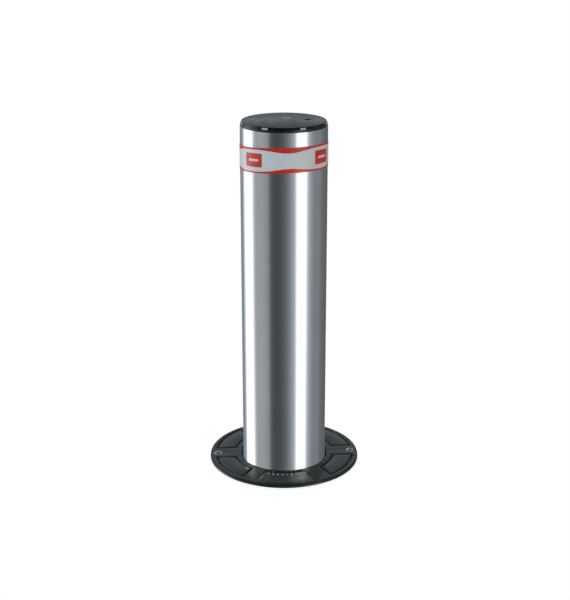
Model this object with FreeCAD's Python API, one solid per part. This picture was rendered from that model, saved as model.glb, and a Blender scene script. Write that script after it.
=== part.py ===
import FreeCAD, Part
import math
import os

# Retractable driveway bollard, electric, with its foundation casing.
#
# Frame: the origin is on the bollard's axis at finished ground level, which is the top of the
# casing's flange and the underside of the cast cover. +Z points up, and -Y is the front. The
# bollard is raised. What is below ground has negative z. All lengths are in millimetres.
#
# The moving tube hangs on a screw: a brushless motor at the foot of the casing turns the screw
# directly, and the nut lifts the tube by a carrier near the tube's lower end. A bush at the
# casing's mouth and a notched ring at the tube's foot guide it.

# ---- moving tube and head ----
TUBE_OD = 115.0
TUBE_WALL = 4.0
TRAVEL = 473.0  # lowered, the cap's top is level with the cover's
CAP_ABOVE_TUBE = 6.25
CAP_LIP_INSET = 0.6  # the lip's side stands this far inside the tube's outside
CAP_LIP_H = 2.75
CAP_CHAMFER = 1.8  # radial width of the sloping edge above the lip
CAP_PLATE = 8.0
CAP_SPIGOT_WALL = 4.0
CAP_SPIGOT_H = 11.0
CAP_SPIGOT_GAP = 0.2
O_RING_R = 1.5
HEAD_PLATE_T = 6.0
HEAD_PLATE_GAP = 1.0
CAP_SCREW_AT = ((-31.0, 2.0), (4.0, 19.0))
CAP_SCREW_R = 2.5
CAP_SCREW_HEAD_R = 5.0
CAP_SCREW_SINK = 0.3

# ---- light ring in the head ----
WINDOW_COUNT = 7
WINDOW_W = 8.0
WINDOW_H = 2.2
WINDOW_ROOF = 1.1
WINDOW_INNER_R = 45.0
WINDOW_SET_BACK = 0.25
LED_SIZE = 4.0
LED_H = 1.6
LED_PLACE_R = 46.5
BOARD_T = 1.6
BOARD_W = 7.5

# ---- release lock in the cap ----
LOCK_X = 31.0
LOCK_Y = 2.0
KEY_HOLE_R = 4.0
KEY_HOLE_DEEP = 4.0
LOCK_R = 9.0
LOCK_LENGTH = 26.0
LOCK_NUT_H = 5.0
LOCK_NUT_ACROSS = 24.0
BARREL_R = 5.5
KEYWAY_W = 1.8
KEYWAY_L = 6.5
KEYWAY_DEEP = 9.0
CAM_T = 3.0
CAM_W = 8.0
CAM_REACH = 16.0
CAM_SPIGOT_R = 3.5
SWITCH_L = 14.0
SWITCH_W = 11.0
SWITCH_H = 12.0
SWITCH_NUB = 0.5

# ---- reflective band ----
BAND_TOP = 450.5
BAND_H = 35.5
BAND_T = 0.5

# ---- cast cover at ground level ----
COVER_LAP = 0.5  # the cover reaches this far past the casing's flange
COVER_T = 5.0
COVER_HOLE_GAP = 3.2  # between the tube and the cover
COVER_TURN = 3.0  # degrees that the cover is turned from square
COVER_EDGE_R = 2.5
POCKET_DEEP = 2.0
POCKET_COUNT = 6  # places for a pocket, and the front one stays flat
RIM_W = 6.0
INNER_RIM_W = 7.0
SPOKE_W = 25.0
POCKET_CORNER = 3.5
COVER_SCREW_R = 3.0
COVER_SCREW_HEAD_R = 5.65
COVER_SCREW_HEAD_H = 3.0
COVER_SCREW_L = 12.0

# ---- foundation casing ----
CASING_SPACE = 23.65  # from the tube's outside to the casing's bore
CASING_WALL = 3.0
FLANGE_W = 19.35  # from the casing's outside to the flange's edge
FLANGE_T = 6.0
FLANGE_SCREW_INSET = 10.0  # anchor holes and cover screws, from the flange's edge
ANCHOR_COUNT = 4
ANCHOR_HOLE_R = 4.5
BASE_T = 8.0
LUG_W = 30.0
LUG_T = 5.0
LUG_H = 60.0
LUG_REACH = 40.0
LUG_TOP = -270.0
LUG_ROOT = 5.0  # how deep the lug's blank starts inside the casing's outline
DRAIN_R = 20.0
DRAIN_BORE_R = 17.0
DRAIN_L = 34.0
DRAIN_COLLAR_R = 25.0
DRAIN_COLLAR_L = 6.0  # the collar that a pipe's socket stops on
DRAIN_LIFT = 22.0  # the drain's axis above the casing's floor
CONDUIT_R = 16.85
CONDUIT_BORE_R = 13.6
CONDUIT_L = 38.0
CONDUIT_LIFT = 110.0

# ---- guides, seal and stops ----
COLLAR_H = 90.0
COLLAR_LIP_H = 4.0
COLLAR_GAP = 0.25
BUSH_WALL = 4.7
SEAL_H = 12.0
SEAL_WALL = 11.5
SEAL_LIP_W = 2.1
SEAL_LIP_UP = 3.0
LEDGE_T = 6.0
UPPER_BUFFER_T = 8.0
UPPER_BUFFER_W = 13.5
WEEP_R = 4.0
WEEP_COUNT = 6
RING_H = 30.0
RING_GAP = 0.4
SLIDE_GAP = 0.3  # between the band's outside and the bush or seal
STOP_GAP = 0.4
KEY_W = 8.0
KEY_DEEP = 8.4
KEY_GAP = 0.35
KEY_TOP_GAP = 1.0
SENSOR_RAIL_W = 14.0
SENSOR_RAIL_T = 4.3
SENSOR_T = 5.0
SENSOR_W = 12.0
SENSOR_H = 24.0
SENSOR_GAP = 0.8
MAGNET_R = 4.0
MAGNET_L = 6.0
RAIL_END_ABOVE_FLOOR = 178.0

# ---- screw, nut and carrier ----
SCREW_R = 12.0
SCREW_GAP = 0.08
CARRIER_T = 20.0
CARRIER_DRAIN_R = 6.0
CARRIER_DRAIN_GAP = 1.0  # from the nut's flange to the drain holes
NUT_WALL = 6.0
NUT_ABOVE = 20.0
NUT_FLANGE_EDGE = 6.0  # from the nut's screws to the flange's edge
NUT_FLANGE_T = 8.0
NUT_SCREW_R = 2.5
NUT_SCREW_STEP = 7.0  # from the nut's outside to its screws
NUT_SCREW_TIP_GAP = 1.0
SKIRT_SCREW_R = 3.0
SKIRT_HEAD_R = 5.5
SKIRT_HEAD_H = 5.0
SKIRT_HEAD_SINK = 1.0  # below the ring's outside
SKIRT_SCREW_GRIP = 12.0  # in the nut carrier
SKIRT_HOLE_SPARE = 1.0  # hole deeper than the screw
STEADY_T = 8.0
STEADY_GAP = 0.5
STEADY_ABOVE_NUT = 8.0
STEADY_VENT_R = 6.0
STEADY_VENT_COUNT = 6
STEADY_VENT_PLACE_R = 36.0
STEADY_JOURNAL_R = 6.0
STEADY_NUT_T = 6.0
STEADY_NUT_ACROSS = 18.0
LANDING_GAP = 4.0  # between the lowered nut and the bearing retainer

# ---- bearing head ----
LOWER_BUFFER_T = 8.0
HOUSING_FLANGE_T = 8.0
HOUSING_FLOOR_T = 5.0
RETAINER_T = 4.0
RETAINER_R = 31.0
RETAINER_BORE_GAP = 2.0  # round the screw
BEARING_H = 14.0
BEARING_BORE_R = 10.0
BEARING_OUTER_R = 23.5
RACE_T = 4.6
RACE_BALL_R = 3.2
LOCK_RING_R = 16.0
LOCK_RING_T = 8.0
LOCK_RING_SLOT_W = 4.0
LOCK_RING_SLOT_DEEP = 2.0
LOCK_RING_GAP = 2.0
SMALL_SCREW_R = 2.0
SMALL_HEAD_R = 3.5
SMALL_HEAD_H = 2.0
SMALL_SCREW_L = 16.0

# ---- coupling, motor and pillar ----
STUB_R = 8.0
STUB_L = 22.0
COUPLING_R = 20.0
COUPLING_HUB = 18.0
COUPLING_STEP = 6.0
SPIDER_T = 10.0
JAW_DEGREES = 50.0
MOTOR_R = 40.0
BELL_T = 12.0
REAR_BELL_T = 10.0
MOTOR_CASE_L = 70.0
MOTOR_CASE_WALL = 3.5
MOTOR_GAP = 12.0  # from the coupling to the front bell
SHAFT_R = 6.0
SHAFT_GAP = 0.05
SMALL_BEARING_R = 14.0
SMALL_BEARING_H = 8.0
STACK_L = 50.0
STATOR_YOKE = 2.7  # behind the slots
SLOT_COUNT = 12
SLOT_W = 5.2
SLOT_DEEP = 7.5
SLOT_MOUTH = 2.0
COIL_GAP = 0.2
COIL_OVERHANG = 5.0
AIR_GAP = 0.8
MAGNET_T = 4.4
MAGNET_SPACE_DEGREES = 4.0
POLE_COUNT = 8
PILLAR_STEP = 6.5  # the pillar's bore is wider than the tube's
PILLAR_WALL = 6.0
PILLAR_FOOT_W = 12.0
PILLAR_FOOT_T = 10.0
PILLAR_SCREW_R = 3.0
PILLAR_HEAD_R = 5.0
PILLAR_HEAD_H = 5.0
PILLAR_TIP_GAP = 2.0
PILLAR_DRAIN_W = 16.0
MOTOR_ABOVE_FLOOR = 8.0
GLAND_R = 8.0
GLAND_BORE_R = 3.5
GLAND_ACROSS = 22.0
GLAND_HEAD_L = 6.0
GLAND_L = 12.0
GLAND_LIFT = 60.0

# ---- small clearances ----
FIT = 0.05  # pieces that are fixed together
SLIP = 0.1

# ---- places worked out from the sizes above ----
TUBE_R = TUBE_OD / 2
TUBE_BORE_R = TUBE_R - TUBE_WALL
CAP_TOP = TRAVEL + COVER_T
TUBE_TOP = CAP_TOP - CAP_ABOVE_TUBE
CAP_R = TUBE_R - CAP_LIP_INSET
CAP_LIP_TOP = TUBE_TOP + CAP_LIP_H
PLATE_UNDER = CAP_TOP - CAP_PLATE
SPIGOT_R = TUBE_BORE_R - CAP_SPIGOT_GAP
SPIGOT_BORE_R = SPIGOT_R - CAP_SPIGOT_WALL
SPIGOT_UNDER = PLATE_UNDER - CAP_SPIGOT_H
HEAD_PLATE_TOP = SPIGOT_UNDER - HEAD_PLATE_GAP
HEAD_PLATE_UNDER = HEAD_PLATE_TOP - HEAD_PLATE_T
WINDOW_TOP = CAP_TOP - WINDOW_ROOF
WINDOW_UNDER = WINDOW_TOP - WINDOW_H
FIRST_WINDOW = -90.0 + 180.0 / WINDOW_COUNT
BOARD_R = SPIGOT_BORE_R - SLIDE_GAP
LOCK_TOP = CAP_TOP - KEY_HOLE_DEEP
LOCK_UNDER = LOCK_TOP - LOCK_LENGTH
COLLAR_BOTTOM = -COLLAR_H
BUSH_R = TUBE_R + BAND_T + SLIDE_GAP
SEAL_R = BUSH_R + SEAL_WALL
COVER_HOLE_R = TUBE_R + COVER_HOLE_GAP
CASING_BORE_R = TUBE_R + CASING_SPACE
CASING_R = CASING_BORE_R + CASING_WALL
FLANGE_R = CASING_R + FLANGE_W
FLANGE_SCREW_PLACE_R = FLANGE_R - FLANGE_SCREW_INSET
COVER_R = FLANGE_R + COVER_LAP
LEDGE_BOTTOM = COLLAR_BOTTOM - LEDGE_T
UPPER_BUFFER_BOTTOM = LEDGE_BOTTOM - UPPER_BUFFER_T
RING_TOP = UPPER_BUFFER_BOTTOM - STOP_GAP
RING_BOTTOM = RING_TOP - RING_H
RING_MID = (RING_TOP + RING_BOTTOM) / 2
CARRIER_TOP = RING_MID + CARRIER_T / 2
CARRIER_BOTTOM = RING_MID - CARRIER_T / 2
NUT_R = SCREW_R + NUT_WALL
NUT_SCREW_PLACE_R = NUT_R + NUT_SCREW_STEP
NUT_FLANGE_R = NUT_SCREW_PLACE_R + NUT_FLANGE_EDGE
CARRIER_DRAIN_PLACE_R = NUT_FLANGE_R + CARRIER_DRAIN_GAP + CARRIER_DRAIN_R
NUT_TOP = CARRIER_TOP + NUT_ABOVE
NUT_BOTTOM = CARRIER_BOTTOM - NUT_FLANGE_T
STEADY_BOTTOM = NUT_TOP + STEADY_ABOVE_NUT
STEADY_TOP = STEADY_BOTTOM + STEADY_T
HOUSING_TOP = NUT_BOTTOM - TRAVEL - LANDING_GAP
LOWER_BUFFER_TOP = RING_BOTTOM - TRAVEL - STOP_GAP
HOUSING_FLANGE_TOP = LOWER_BUFFER_TOP - LOWER_BUFFER_T
PILLAR_TOP = HOUSING_FLANGE_TOP - HOUSING_FLANGE_T
BEARING_TOP = HOUSING_TOP - RETAINER_T
BEARING_BOTTOM = BEARING_TOP - 2 * BEARING_H
HOUSING_BOTTOM = BEARING_BOTTOM - HOUSING_FLOOR_T
LOCK_RING_BOTTOM = BEARING_BOTTOM - LOCK_RING_T
STUB_BOTTOM = LOCK_RING_BOTTOM - STUB_L
UPPER_HUB_TOP = LOCK_RING_BOTTOM - COUPLING_STEP
SPIDER_TOP = UPPER_HUB_TOP - COUPLING_HUB
SPIDER_BOTTOM = SPIDER_TOP - SPIDER_T
LOWER_HUB_BOTTOM = SPIDER_BOTTOM - COUPLING_HUB
FRONT_BELL_TOP = LOWER_HUB_BOTTOM - MOTOR_GAP
FRONT_BELL_BOTTOM = FRONT_BELL_TOP - BELL_T
CASE_BOTTOM = FRONT_BELL_BOTTOM - MOTOR_CASE_L
REAR_BELL_BOTTOM = CASE_BOTTOM - REAR_BELL_T
FLOOR = REAR_BELL_BOTTOM - MOTOR_ABOVE_FLOOR
BASE_BOTTOM = FLOOR - BASE_T
STACK_TOP = (FRONT_BELL_BOTTOM + CASE_BOTTOM + STACK_L) / 2
STACK_BOTTOM = STACK_TOP - STACK_L
STATOR_R = MOTOR_R - MOTOR_CASE_WALL - SLIP
SLOT_INNER_R = STATOR_R - STATOR_YOKE - SLOT_DEEP
STATOR_BORE_R = SLOT_INNER_R - SLOT_MOUTH
ROTOR_CORE_R = STATOR_BORE_R - AIR_GAP - MAGNET_T
PILLAR_BORE_R = TUBE_BORE_R + PILLAR_STEP
PILLAR_R = PILLAR_BORE_R + PILLAR_WALL
RAIL_TOP = UPPER_BUFFER_BOTTOM - KEY_TOP_GAP
RAIL_BOTTOM = FLOOR + RAIL_END_ABOVE_FLOOR
KEY_OUTER_R = CASING_BORE_R - COLLAR_GAP
KEY_INNER_R = KEY_OUTER_R - KEY_DEEP
SENSOR_RAIL_OUTER_R = math.sqrt(KEY_OUTER_R**2 - (SENSOR_RAIL_W / 2) ** 2)
SENSOR_RAIL_INNER_R = SENSOR_RAIL_OUTER_R - SENSOR_RAIL_T
SENSOR_INNER_R = SENSOR_RAIL_INNER_R - SENSOR_T
SENSOR_NOTCH_R = SENSOR_INNER_R - SENSOR_GAP
QUARTERS = (45.0, 135.0, 225.0, 315.0)
FRONT_DEGREES = 270.0
COVER_SCREW_DEGREES = (COVER_TURN, COVER_TURN + 180.0)

Z_AXIS = FreeCAD.Vector(0, 0, 1)
X_AXIS = FreeCAD.Vector(1, 0, 0)


# ---- helpers ----
def rod(radius, z_low, z_high, x=0.0, y=0.0):
    return Part.makeCylinder(radius, z_high - z_low, FreeCAD.Vector(x, y, z_low))


def ring(inner_r, outer_r, z_low, z_high):
    return rod(outer_r, z_low, z_high).cut(rod(inner_r, z_low - 1, z_high + 1))


def box(x_low, x_high, width, z_low, z_high):
    corner = FreeCAD.Vector(x_low, -width / 2, z_low)
    return Part.makeBox(x_high - x_low, width, z_high - z_low, corner)


def radial_rod(radius, r_low, r_high, z):
    return Part.makeCylinder(radius, r_high - r_low, FreeCAD.Vector(r_low, 0, z), X_AXIS)


def hexagon(across, z_low, z_high, x=0.0, y=0.0):
    corner_r = across / math.sqrt(3)
    points = []
    for corner in range(7):
        angle = math.radians(60 * corner)
        points.append(
            FreeCAD.Vector(x + corner_r * math.cos(angle), y + corner_r * math.sin(angle), z_low)
        )
    face = Part.Face(Part.makePolygon(points))
    return face.extrude(FreeCAD.Vector(0, 0, z_high - z_low))


def sector(inner_r, outer_r, z_low, z_high, degrees):
    """A stretch of ring, centred on +X."""
    wedge = Part.makeCylinder(
        outer_r, z_high - z_low, FreeCAD.Vector(0, 0, z_low), Z_AXIS, degrees
    )
    wedge = turned(wedge, -degrees / 2)
    return wedge.cut(rod(inner_r, z_low - 1, z_high + 1))


def turned(shape, degrees):
    copy = shape.copy()
    copy.rotate(FreeCAD.Vector(0, 0, 0), Z_AXIS, degrees)
    return copy


def around(shape, angles):
    return [turned(shape, angle) for angle in angles]


def evenly(count, first=0.0):
    return [first + 360.0 * step / count for step in range(count)]


def cut_all(shape, tools):
    for tool in tools:
        shape = shape.cut(tool)
    return shape


def cap_screw(radius, head_r, head_h, length, top, x=0.0, y=0.0):
    """A socket head screw that points down, its head's top at this height."""
    head = rod(head_r, top - head_h, top, x, y)
    shank = rod(radius, top - head_h - length, top - head_h, x, y)
    socket = hexagon(head_r * 0.95, top - head_h * 0.6, top + 1, x, y)
    return head.fuse(shank).cut(socket).removeSplitter()


# ---- moving tube and head ----
def bollard_tube():
    tube = ring(TUBE_BORE_R, TUBE_R, RING_BOTTOM, TUBE_TOP)
    hole = radial_rod(SKIRT_SCREW_R + SLIP, TUBE_BORE_R - 2, TUBE_R + 2, RING_MID)
    return cut_all(tube, around(hole, QUARTERS))


def cap_outside(shrink):
    """The solid under the cap's outside, moved in by shrink."""
    lip = rod(CAP_R - shrink, TUBE_TOP, CAP_LIP_TOP)
    slope = Part.makeCone(
        CAP_R - shrink,
        CAP_R - CAP_CHAMFER - shrink,
        CAP_TOP - CAP_LIP_TOP,
        FreeCAD.Vector(0, 0, CAP_LIP_TOP),
    )
    return lip.fuse(slope)


def countersunk(x, y, grow):
    top = CAP_TOP - CAP_SCREW_SINK
    slope_h = CAP_SCREW_HEAD_R - CAP_SCREW_R
    return Part.makeCone(
        CAP_SCREW_R + grow,
        CAP_SCREW_HEAD_R + grow,
        slope_h,
        FreeCAD.Vector(x, y, top - slope_h),
    )


def head_cap():
    cap = cap_outside(0).fuse(rod(SPIGOT_R, PLATE_UNDER, TUBE_TOP))
    cap = cap.fuse(ring(SPIGOT_BORE_R, SPIGOT_R, SPIGOT_UNDER, PLATE_UNDER))
    groove_mid = (SPIGOT_UNDER + PLATE_UNDER) / 2
    groove_r = TUBE_BORE_R - 2 * O_RING_R - SLIP
    cuts = [ring(groove_r, TUBE_R, groove_mid - O_RING_R - SLIP, groove_mid + O_RING_R + SLIP)]
    slot = box(
        WINDOW_INNER_R, TUBE_R + 2, WINDOW_W + 2 * SLIP, WINDOW_UNDER - SLIP, WINDOW_TOP + SLIP
    )
    pocket_w = LED_SIZE + 2
    pocket = box(
        LED_PLACE_R - pocket_w / 2,
        LED_PLACE_R + pocket_w / 2,
        pocket_w,
        PLATE_UNDER - 1,
        WINDOW_UNDER,
    )
    cuts += around(slot, evenly(WINDOW_COUNT, FIRST_WINDOW))
    cuts += around(pocket, evenly(WINDOW_COUNT, FIRST_WINDOW))
    cuts.append(rod(KEY_HOLE_R, LOCK_TOP - 1, CAP_TOP + 1, LOCK_X, LOCK_Y))
    cuts.append(rod(LOCK_R + SLIP, PLATE_UNDER - 1, LOCK_TOP, LOCK_X, LOCK_Y))
    for x, y in CAP_SCREW_AT:
        cuts.append(countersunk(x, y, SLIP))
        cuts.append(rod(CAP_SCREW_R + SLIP, PLATE_UNDER - 1, CAP_TOP, x, y))
        cuts.append(
            rod(CAP_SCREW_HEAD_R + SLIP, CAP_TOP - CAP_SCREW_SINK - SLIP, CAP_TOP + 1, x, y)
        )
    return cut_all(cap, cuts).removeSplitter()


def cap_o_ring():
    middle = FreeCAD.Vector(0, 0, (SPIGOT_UNDER + PLATE_UNDER) / 2)
    return Part.makeTorus(TUBE_BORE_R - O_RING_R, O_RING_R - FIT, middle)


def cap_screws():
    made = []
    for x, y in CAP_SCREW_AT:
        screw = countersunk(x, y, 0).fuse(
            rod(CAP_SCREW_R, HEAD_PLATE_UNDER, CAP_TOP - CAP_SCREW_SINK - 1, x, y)
        )
        socket_top = CAP_TOP - CAP_SCREW_SINK
        made.append(screw.cut(hexagon(CAP_SCREW_R * 1.3, socket_top - 2, socket_top + 1, x, y)))
    return Part.Compound(made)


def head_plate():
    plate = rod(TUBE_BORE_R - FIT, HEAD_PLATE_UNDER, HEAD_PLATE_TOP)
    low, high = HEAD_PLATE_UNDER - 1, HEAD_PLATE_TOP + 1
    cuts = [rod(LOCK_R + CAP_SPIGOT_GAP, low, high, LOCK_X, LOCK_Y)]
    for x, y in CAP_SCREW_AT:
        cuts.append(rod(CAP_SCREW_R + FIT, low, high, x, y))
    cuts.append(rod(LOCK_R, low, high, -LOCK_X / 2, -LOCK_X))
    return cut_all(plate, cuts)


def led_windows():
    light_pipe = box(WINDOW_INNER_R + SLIP, TUBE_R + 2, WINDOW_W, WINDOW_UNDER, WINDOW_TOP)
    pipes = around(light_pipe, evenly(WINDOW_COUNT, FIRST_WINDOW))
    outside = cap_outside(WINDOW_SET_BACK)
    return Part.Compound([pipe.common(outside) for pipe in pipes])


def led_board():
    board = ring(BOARD_R - BOARD_W, BOARD_R, PLATE_UNDER - BOARD_T, PLATE_UNDER)
    led = box(
        LED_PLACE_R - LED_SIZE / 2,
        LED_PLACE_R + LED_SIZE / 2,
        LED_SIZE,
        PLATE_UNDER,
        PLATE_UNDER + LED_H,
    )
    for one in around(led, evenly(WINDOW_COUNT, FIRST_WINDOW)):
        board = board.fuse(one)
    return board.removeSplitter()


def lock_body():
    body = rod(LOCK_R, LOCK_UNDER, LOCK_TOP - SLIP, LOCK_X, LOCK_Y)
    return body.cut(rod(BARREL_R + FIT, LOCK_UNDER - 1, LOCK_TOP + 1, LOCK_X, LOCK_Y))


def lock_nut():
    low = PLATE_UNDER - LOCK_NUT_H
    nut = hexagon(LOCK_NUT_ACROSS, low, PLATE_UNDER, LOCK_X, LOCK_Y)
    nut = nut.common(rod(BOARD_R - BOARD_W - SLIP, low, PLATE_UNDER))
    return nut.cut(rod(LOCK_R + FIT, low - 1, PLATE_UNDER + 1, LOCK_X, LOCK_Y))


def lock_barrel():
    barrel = rod(BARREL_R, LOCK_UNDER, LOCK_TOP - 2 * SLIP, LOCK_X, LOCK_Y)
    barrel = barrel.fuse(rod(CAM_SPIGOT_R, LOCK_UNDER - CAM_T - 1, LOCK_UNDER, LOCK_X, LOCK_Y))
    keyway = Part.makeBox(
        KEYWAY_W,
        KEYWAY_L,
        KEYWAY_DEEP + 1,
        FreeCAD.Vector(LOCK_X - KEYWAY_W / 2, LOCK_Y - KEYWAY_L / 2, LOCK_TOP - KEYWAY_DEEP),
    )
    return barrel.cut(keyway).removeSplitter()


def lock_cam():
    low, high = LOCK_UNDER - CAM_T - 2 * SLIP, LOCK_UNDER - 2 * SLIP
    hub = rod(BARREL_R + 2, low, high, LOCK_X, LOCK_Y)
    arm = Part.makeBox(
        CAM_REACH, CAM_W, CAM_T, FreeCAD.Vector(LOCK_X - CAM_REACH, LOCK_Y - CAM_W / 2, low)
    )
    cam = hub.fuse(arm).cut(rod(CAM_SPIGOT_R + FIT, low - 1, high + 1, LOCK_X, LOCK_Y))
    return cam.removeSplitter()


def key_switch():
    sweep = math.hypot(CAM_REACH, CAM_W / 2) + SLIDE_GAP
    nub_y = LOCK_Y - sweep
    face_y = nub_y - SWITCH_NUB
    low = HEAD_PLATE_UNDER - SWITCH_H
    case = Part.makeBox(
        SWITCH_L, SWITCH_W, SWITCH_H, FreeCAD.Vector(LOCK_X - SWITCH_L / 2, face_y - SWITCH_W, low)
    )
    nub_z = LOCK_UNDER - CAM_T / 2
    nub = Part.makeCylinder(
        CAM_T / 2, SWITCH_NUB + 1, FreeCAD.Vector(LOCK_X, face_y - 1, nub_z), FreeCAD.Vector(0, 1, 0)
    )
    return case.fuse(nub).removeSplitter()


def reflective_band():
    return ring(TUBE_R + FIT / 2, TUBE_R + BAND_T, BAND_TOP - BAND_H, BAND_TOP)


# ---- foot of the moving tube ----
def lower_guide_ring():
    outer_r = CASING_BORE_R - RING_GAP
    foot = ring(TUBE_R + FIT / 2, outer_r, RING_BOTTOM, RING_TOP)
    low, high = RING_BOTTOM - 1, RING_TOP + 1
    key_notch = box(KEY_INNER_R - KEY_GAP, CASING_R, KEY_W + 2 * KEY_GAP, low, high)
    sensor_notch = box(SENSOR_NOTCH_R, CASING_R, SENSOR_RAIL_W + 2 * SENSOR_GAP, low, high)
    head_seat = outer_r - SKIRT_HEAD_SINK - SKIRT_HEAD_H
    hole = radial_rod(SKIRT_SCREW_R + SLIP, TUBE_R - 2, head_seat, RING_MID)
    sink = radial_rod(SKIRT_HEAD_R + SLIP, head_seat, CASING_R, RING_MID)
    magnet_hole = radial_rod(
        MAGNET_R + FIT, SENSOR_NOTCH_R - MAGNET_L - FIT, CASING_R, RING_MID
    )
    cuts = around(key_notch, (0.0, 180.0)) + around(sensor_notch, (90.0,))
    cuts += around(hole.fuse(sink), QUARTERS) + around(magnet_hole, (90.0,))
    return cut_all(foot, cuts).removeSplitter()


def position_magnet():
    magnet = radial_rod(MAGNET_R, SENSOR_NOTCH_R - MAGNET_L, SENSOR_NOTCH_R, RING_MID)
    return turned(magnet, 90.0)


def skirt_screws():
    head_seat = CASING_BORE_R - RING_GAP - SKIRT_HEAD_SINK - SKIRT_HEAD_H
    head = radial_rod(SKIRT_HEAD_R, head_seat, head_seat + SKIRT_HEAD_H, RING_MID)
    shank = radial_rod(SKIRT_SCREW_R, TUBE_BORE_R - SKIRT_SCREW_GRIP, head_seat, RING_MID)
    socket = radial_rod(SKIRT_HEAD_R / 2, head_seat + SKIRT_HEAD_H / 2, CASING_R, RING_MID)
    screw = head.fuse(shank).cut(socket).removeSplitter()
    return Part.Compound(around(screw, QUARTERS))


def nut_carrier():
    disc = ring(NUT_R + FIT, TUBE_BORE_R - FIT, CARRIER_BOTTOM, CARRIER_TOP)
    hole_end = TUBE_BORE_R - SKIRT_SCREW_GRIP - SKIRT_HOLE_SPARE
    side_hole = radial_rod(SKIRT_SCREW_R + FIT, hole_end, TUBE_R, RING_MID)
    low, high = CARRIER_BOTTOM - 1, CARRIER_TOP + 1
    drain = rod(CARRIER_DRAIN_R, low, high, CARRIER_DRAIN_PLACE_R)
    bolt = rod(NUT_SCREW_R + FIT, low, high, NUT_SCREW_PLACE_R)
    cuts = around(side_hole, QUARTERS) + around(drain, evenly(4)) + around(bolt, evenly(4))
    return cut_all(disc, cuts).removeSplitter()


def drive_nut():
    nut = rod(NUT_R, CARRIER_BOTTOM, NUT_TOP)
    nut = nut.fuse(rod(NUT_FLANGE_R, NUT_BOTTOM, CARRIER_BOTTOM))
    nut = nut.cut(rod(SCREW_R + SCREW_GAP, NUT_BOTTOM - 1, NUT_TOP + 1))
    hole = rod(NUT_SCREW_R + FIT, NUT_BOTTOM - 1, CARRIER_BOTTOM + 1, NUT_SCREW_PLACE_R)
    return cut_all(nut, around(hole, evenly(4))).removeSplitter()


def nut_screws():
    head_h = 2 * NUT_SCREW_R
    screw = cap_screw(
        NUT_SCREW_R,
        1.7 * NUT_SCREW_R,
        head_h,
        CARRIER_T + NUT_FLANGE_T - NUT_SCREW_TIP_GAP,
        CARRIER_TOP + head_h,
        NUT_SCREW_PLACE_R,
    )
    return Part.Compound(around(screw, evenly(4)))


# ---- cast cover ----
def cover_pockets():
    low = COVER_T - POCKET_DEEP
    inner_r = COVER_HOLE_R + INNER_RIM_W
    outer_r = COVER_R - RIM_W
    pocket = sector(inner_r, outer_r, low, COVER_T + 1, 360.0 / POCKET_COUNT)
    half = 180.0 / POCKET_COUNT
    spoke = box(0, COVER_R, SPOKE_W, low - 1, COVER_T + 2)
    pocket = pocket.cut(turned(spoke, half)).cut(turned(spoke, -half))
    upright = []
    for edge in pocket.Edges:
        box_of_edge = edge.BoundBox
        if box_of_edge.ZLength > POCKET_DEEP and box_of_edge.XLength + box_of_edge.YLength < 0.01:
            upright.append(edge)
    pocket = pocket.makeFillet(POCKET_CORNER, upright)
    places = evenly(POCKET_COUNT, COVER_TURN + half)
    front = COVER_TURN + FRONT_DEGREES
    return around(pocket, [angle for angle in places if abs(angle - front) > half])


def ground_cover():
    plate = rod(COVER_R, 0, COVER_T)
    rim = []
    for edge in plate.Edges:
        if edge.BoundBox.ZMin > COVER_T - 0.01 and edge.BoundBox.XLength > 1:
            rim.append(edge)
    plate = plate.makeFillet(COVER_EDGE_R, rim)
    plate = plate.cut(rod(COVER_HOLE_R, -1, COVER_T + 1))
    plate = cut_all(plate, cover_pockets())
    seat = COVER_T - COVER_SCREW_HEAD_H
    hole = rod(COVER_SCREW_R + SLIP, -1, COVER_T, FLANGE_SCREW_PLACE_R)
    sink = rod(COVER_SCREW_HEAD_R + SLIP, seat, COVER_T + 1, FLANGE_SCREW_PLACE_R)
    return cut_all(plate, around(hole.fuse(sink), COVER_SCREW_DEGREES)).removeSplitter()


def cover_screws():
    screw = cap_screw(
        COVER_SCREW_R,
        COVER_SCREW_HEAD_R,
        COVER_SCREW_HEAD_H,
        COVER_SCREW_L - COVER_SCREW_HEAD_H,
        COVER_T,
        FLANGE_SCREW_PLACE_R,
    )
    return Part.Compound(around(screw, COVER_SCREW_DEGREES))


# ---- foundation casing ----
def casing_flange():
    flange = ring(CASING_BORE_R, FLANGE_R, -FLANGE_T, 0)
    anchor = rod(ANCHOR_HOLE_R, -FLANGE_T - 1, 1, FLANGE_SCREW_PLACE_R)
    tapped = rod(COVER_SCREW_R + FIT, -FLANGE_T - 1, 1, FLANGE_SCREW_PLACE_R)
    cuts = around(anchor, evenly(ANCHOR_COUNT, QUARTERS[0]))
    cuts += around(tapped, COVER_SCREW_DEGREES)
    return cut_all(flange, cuts)


def drain_place():
    return FLOOR + DRAIN_LIFT


def conduit_place():
    return FLOOR + CONDUIT_LIFT


def casing_tube():
    tube = ring(CASING_BORE_R, CASING_R, FLOOR, -FLANGE_T)
    drain = radial_rod(DRAIN_R + FIT, CASING_BORE_R - 10, CASING_R + 10, drain_place())
    conduit = radial_rod(CONDUIT_R + FIT, CASING_BORE_R - 10, CASING_R + 10, conduit_place())
    return tube.cut(turned(drain, 90.0)).cut(conduit)


def base_plate():
    plate = rod(CASING_R, BASE_BOTTOM, FLOOR)
    hole = rod(PILLAR_SCREW_R + FIT, FLOOR - BASE_T + 1, FLOOR + 1, foot_screw_r())
    return cut_all(plate, around(hole, QUARTERS))


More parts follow.
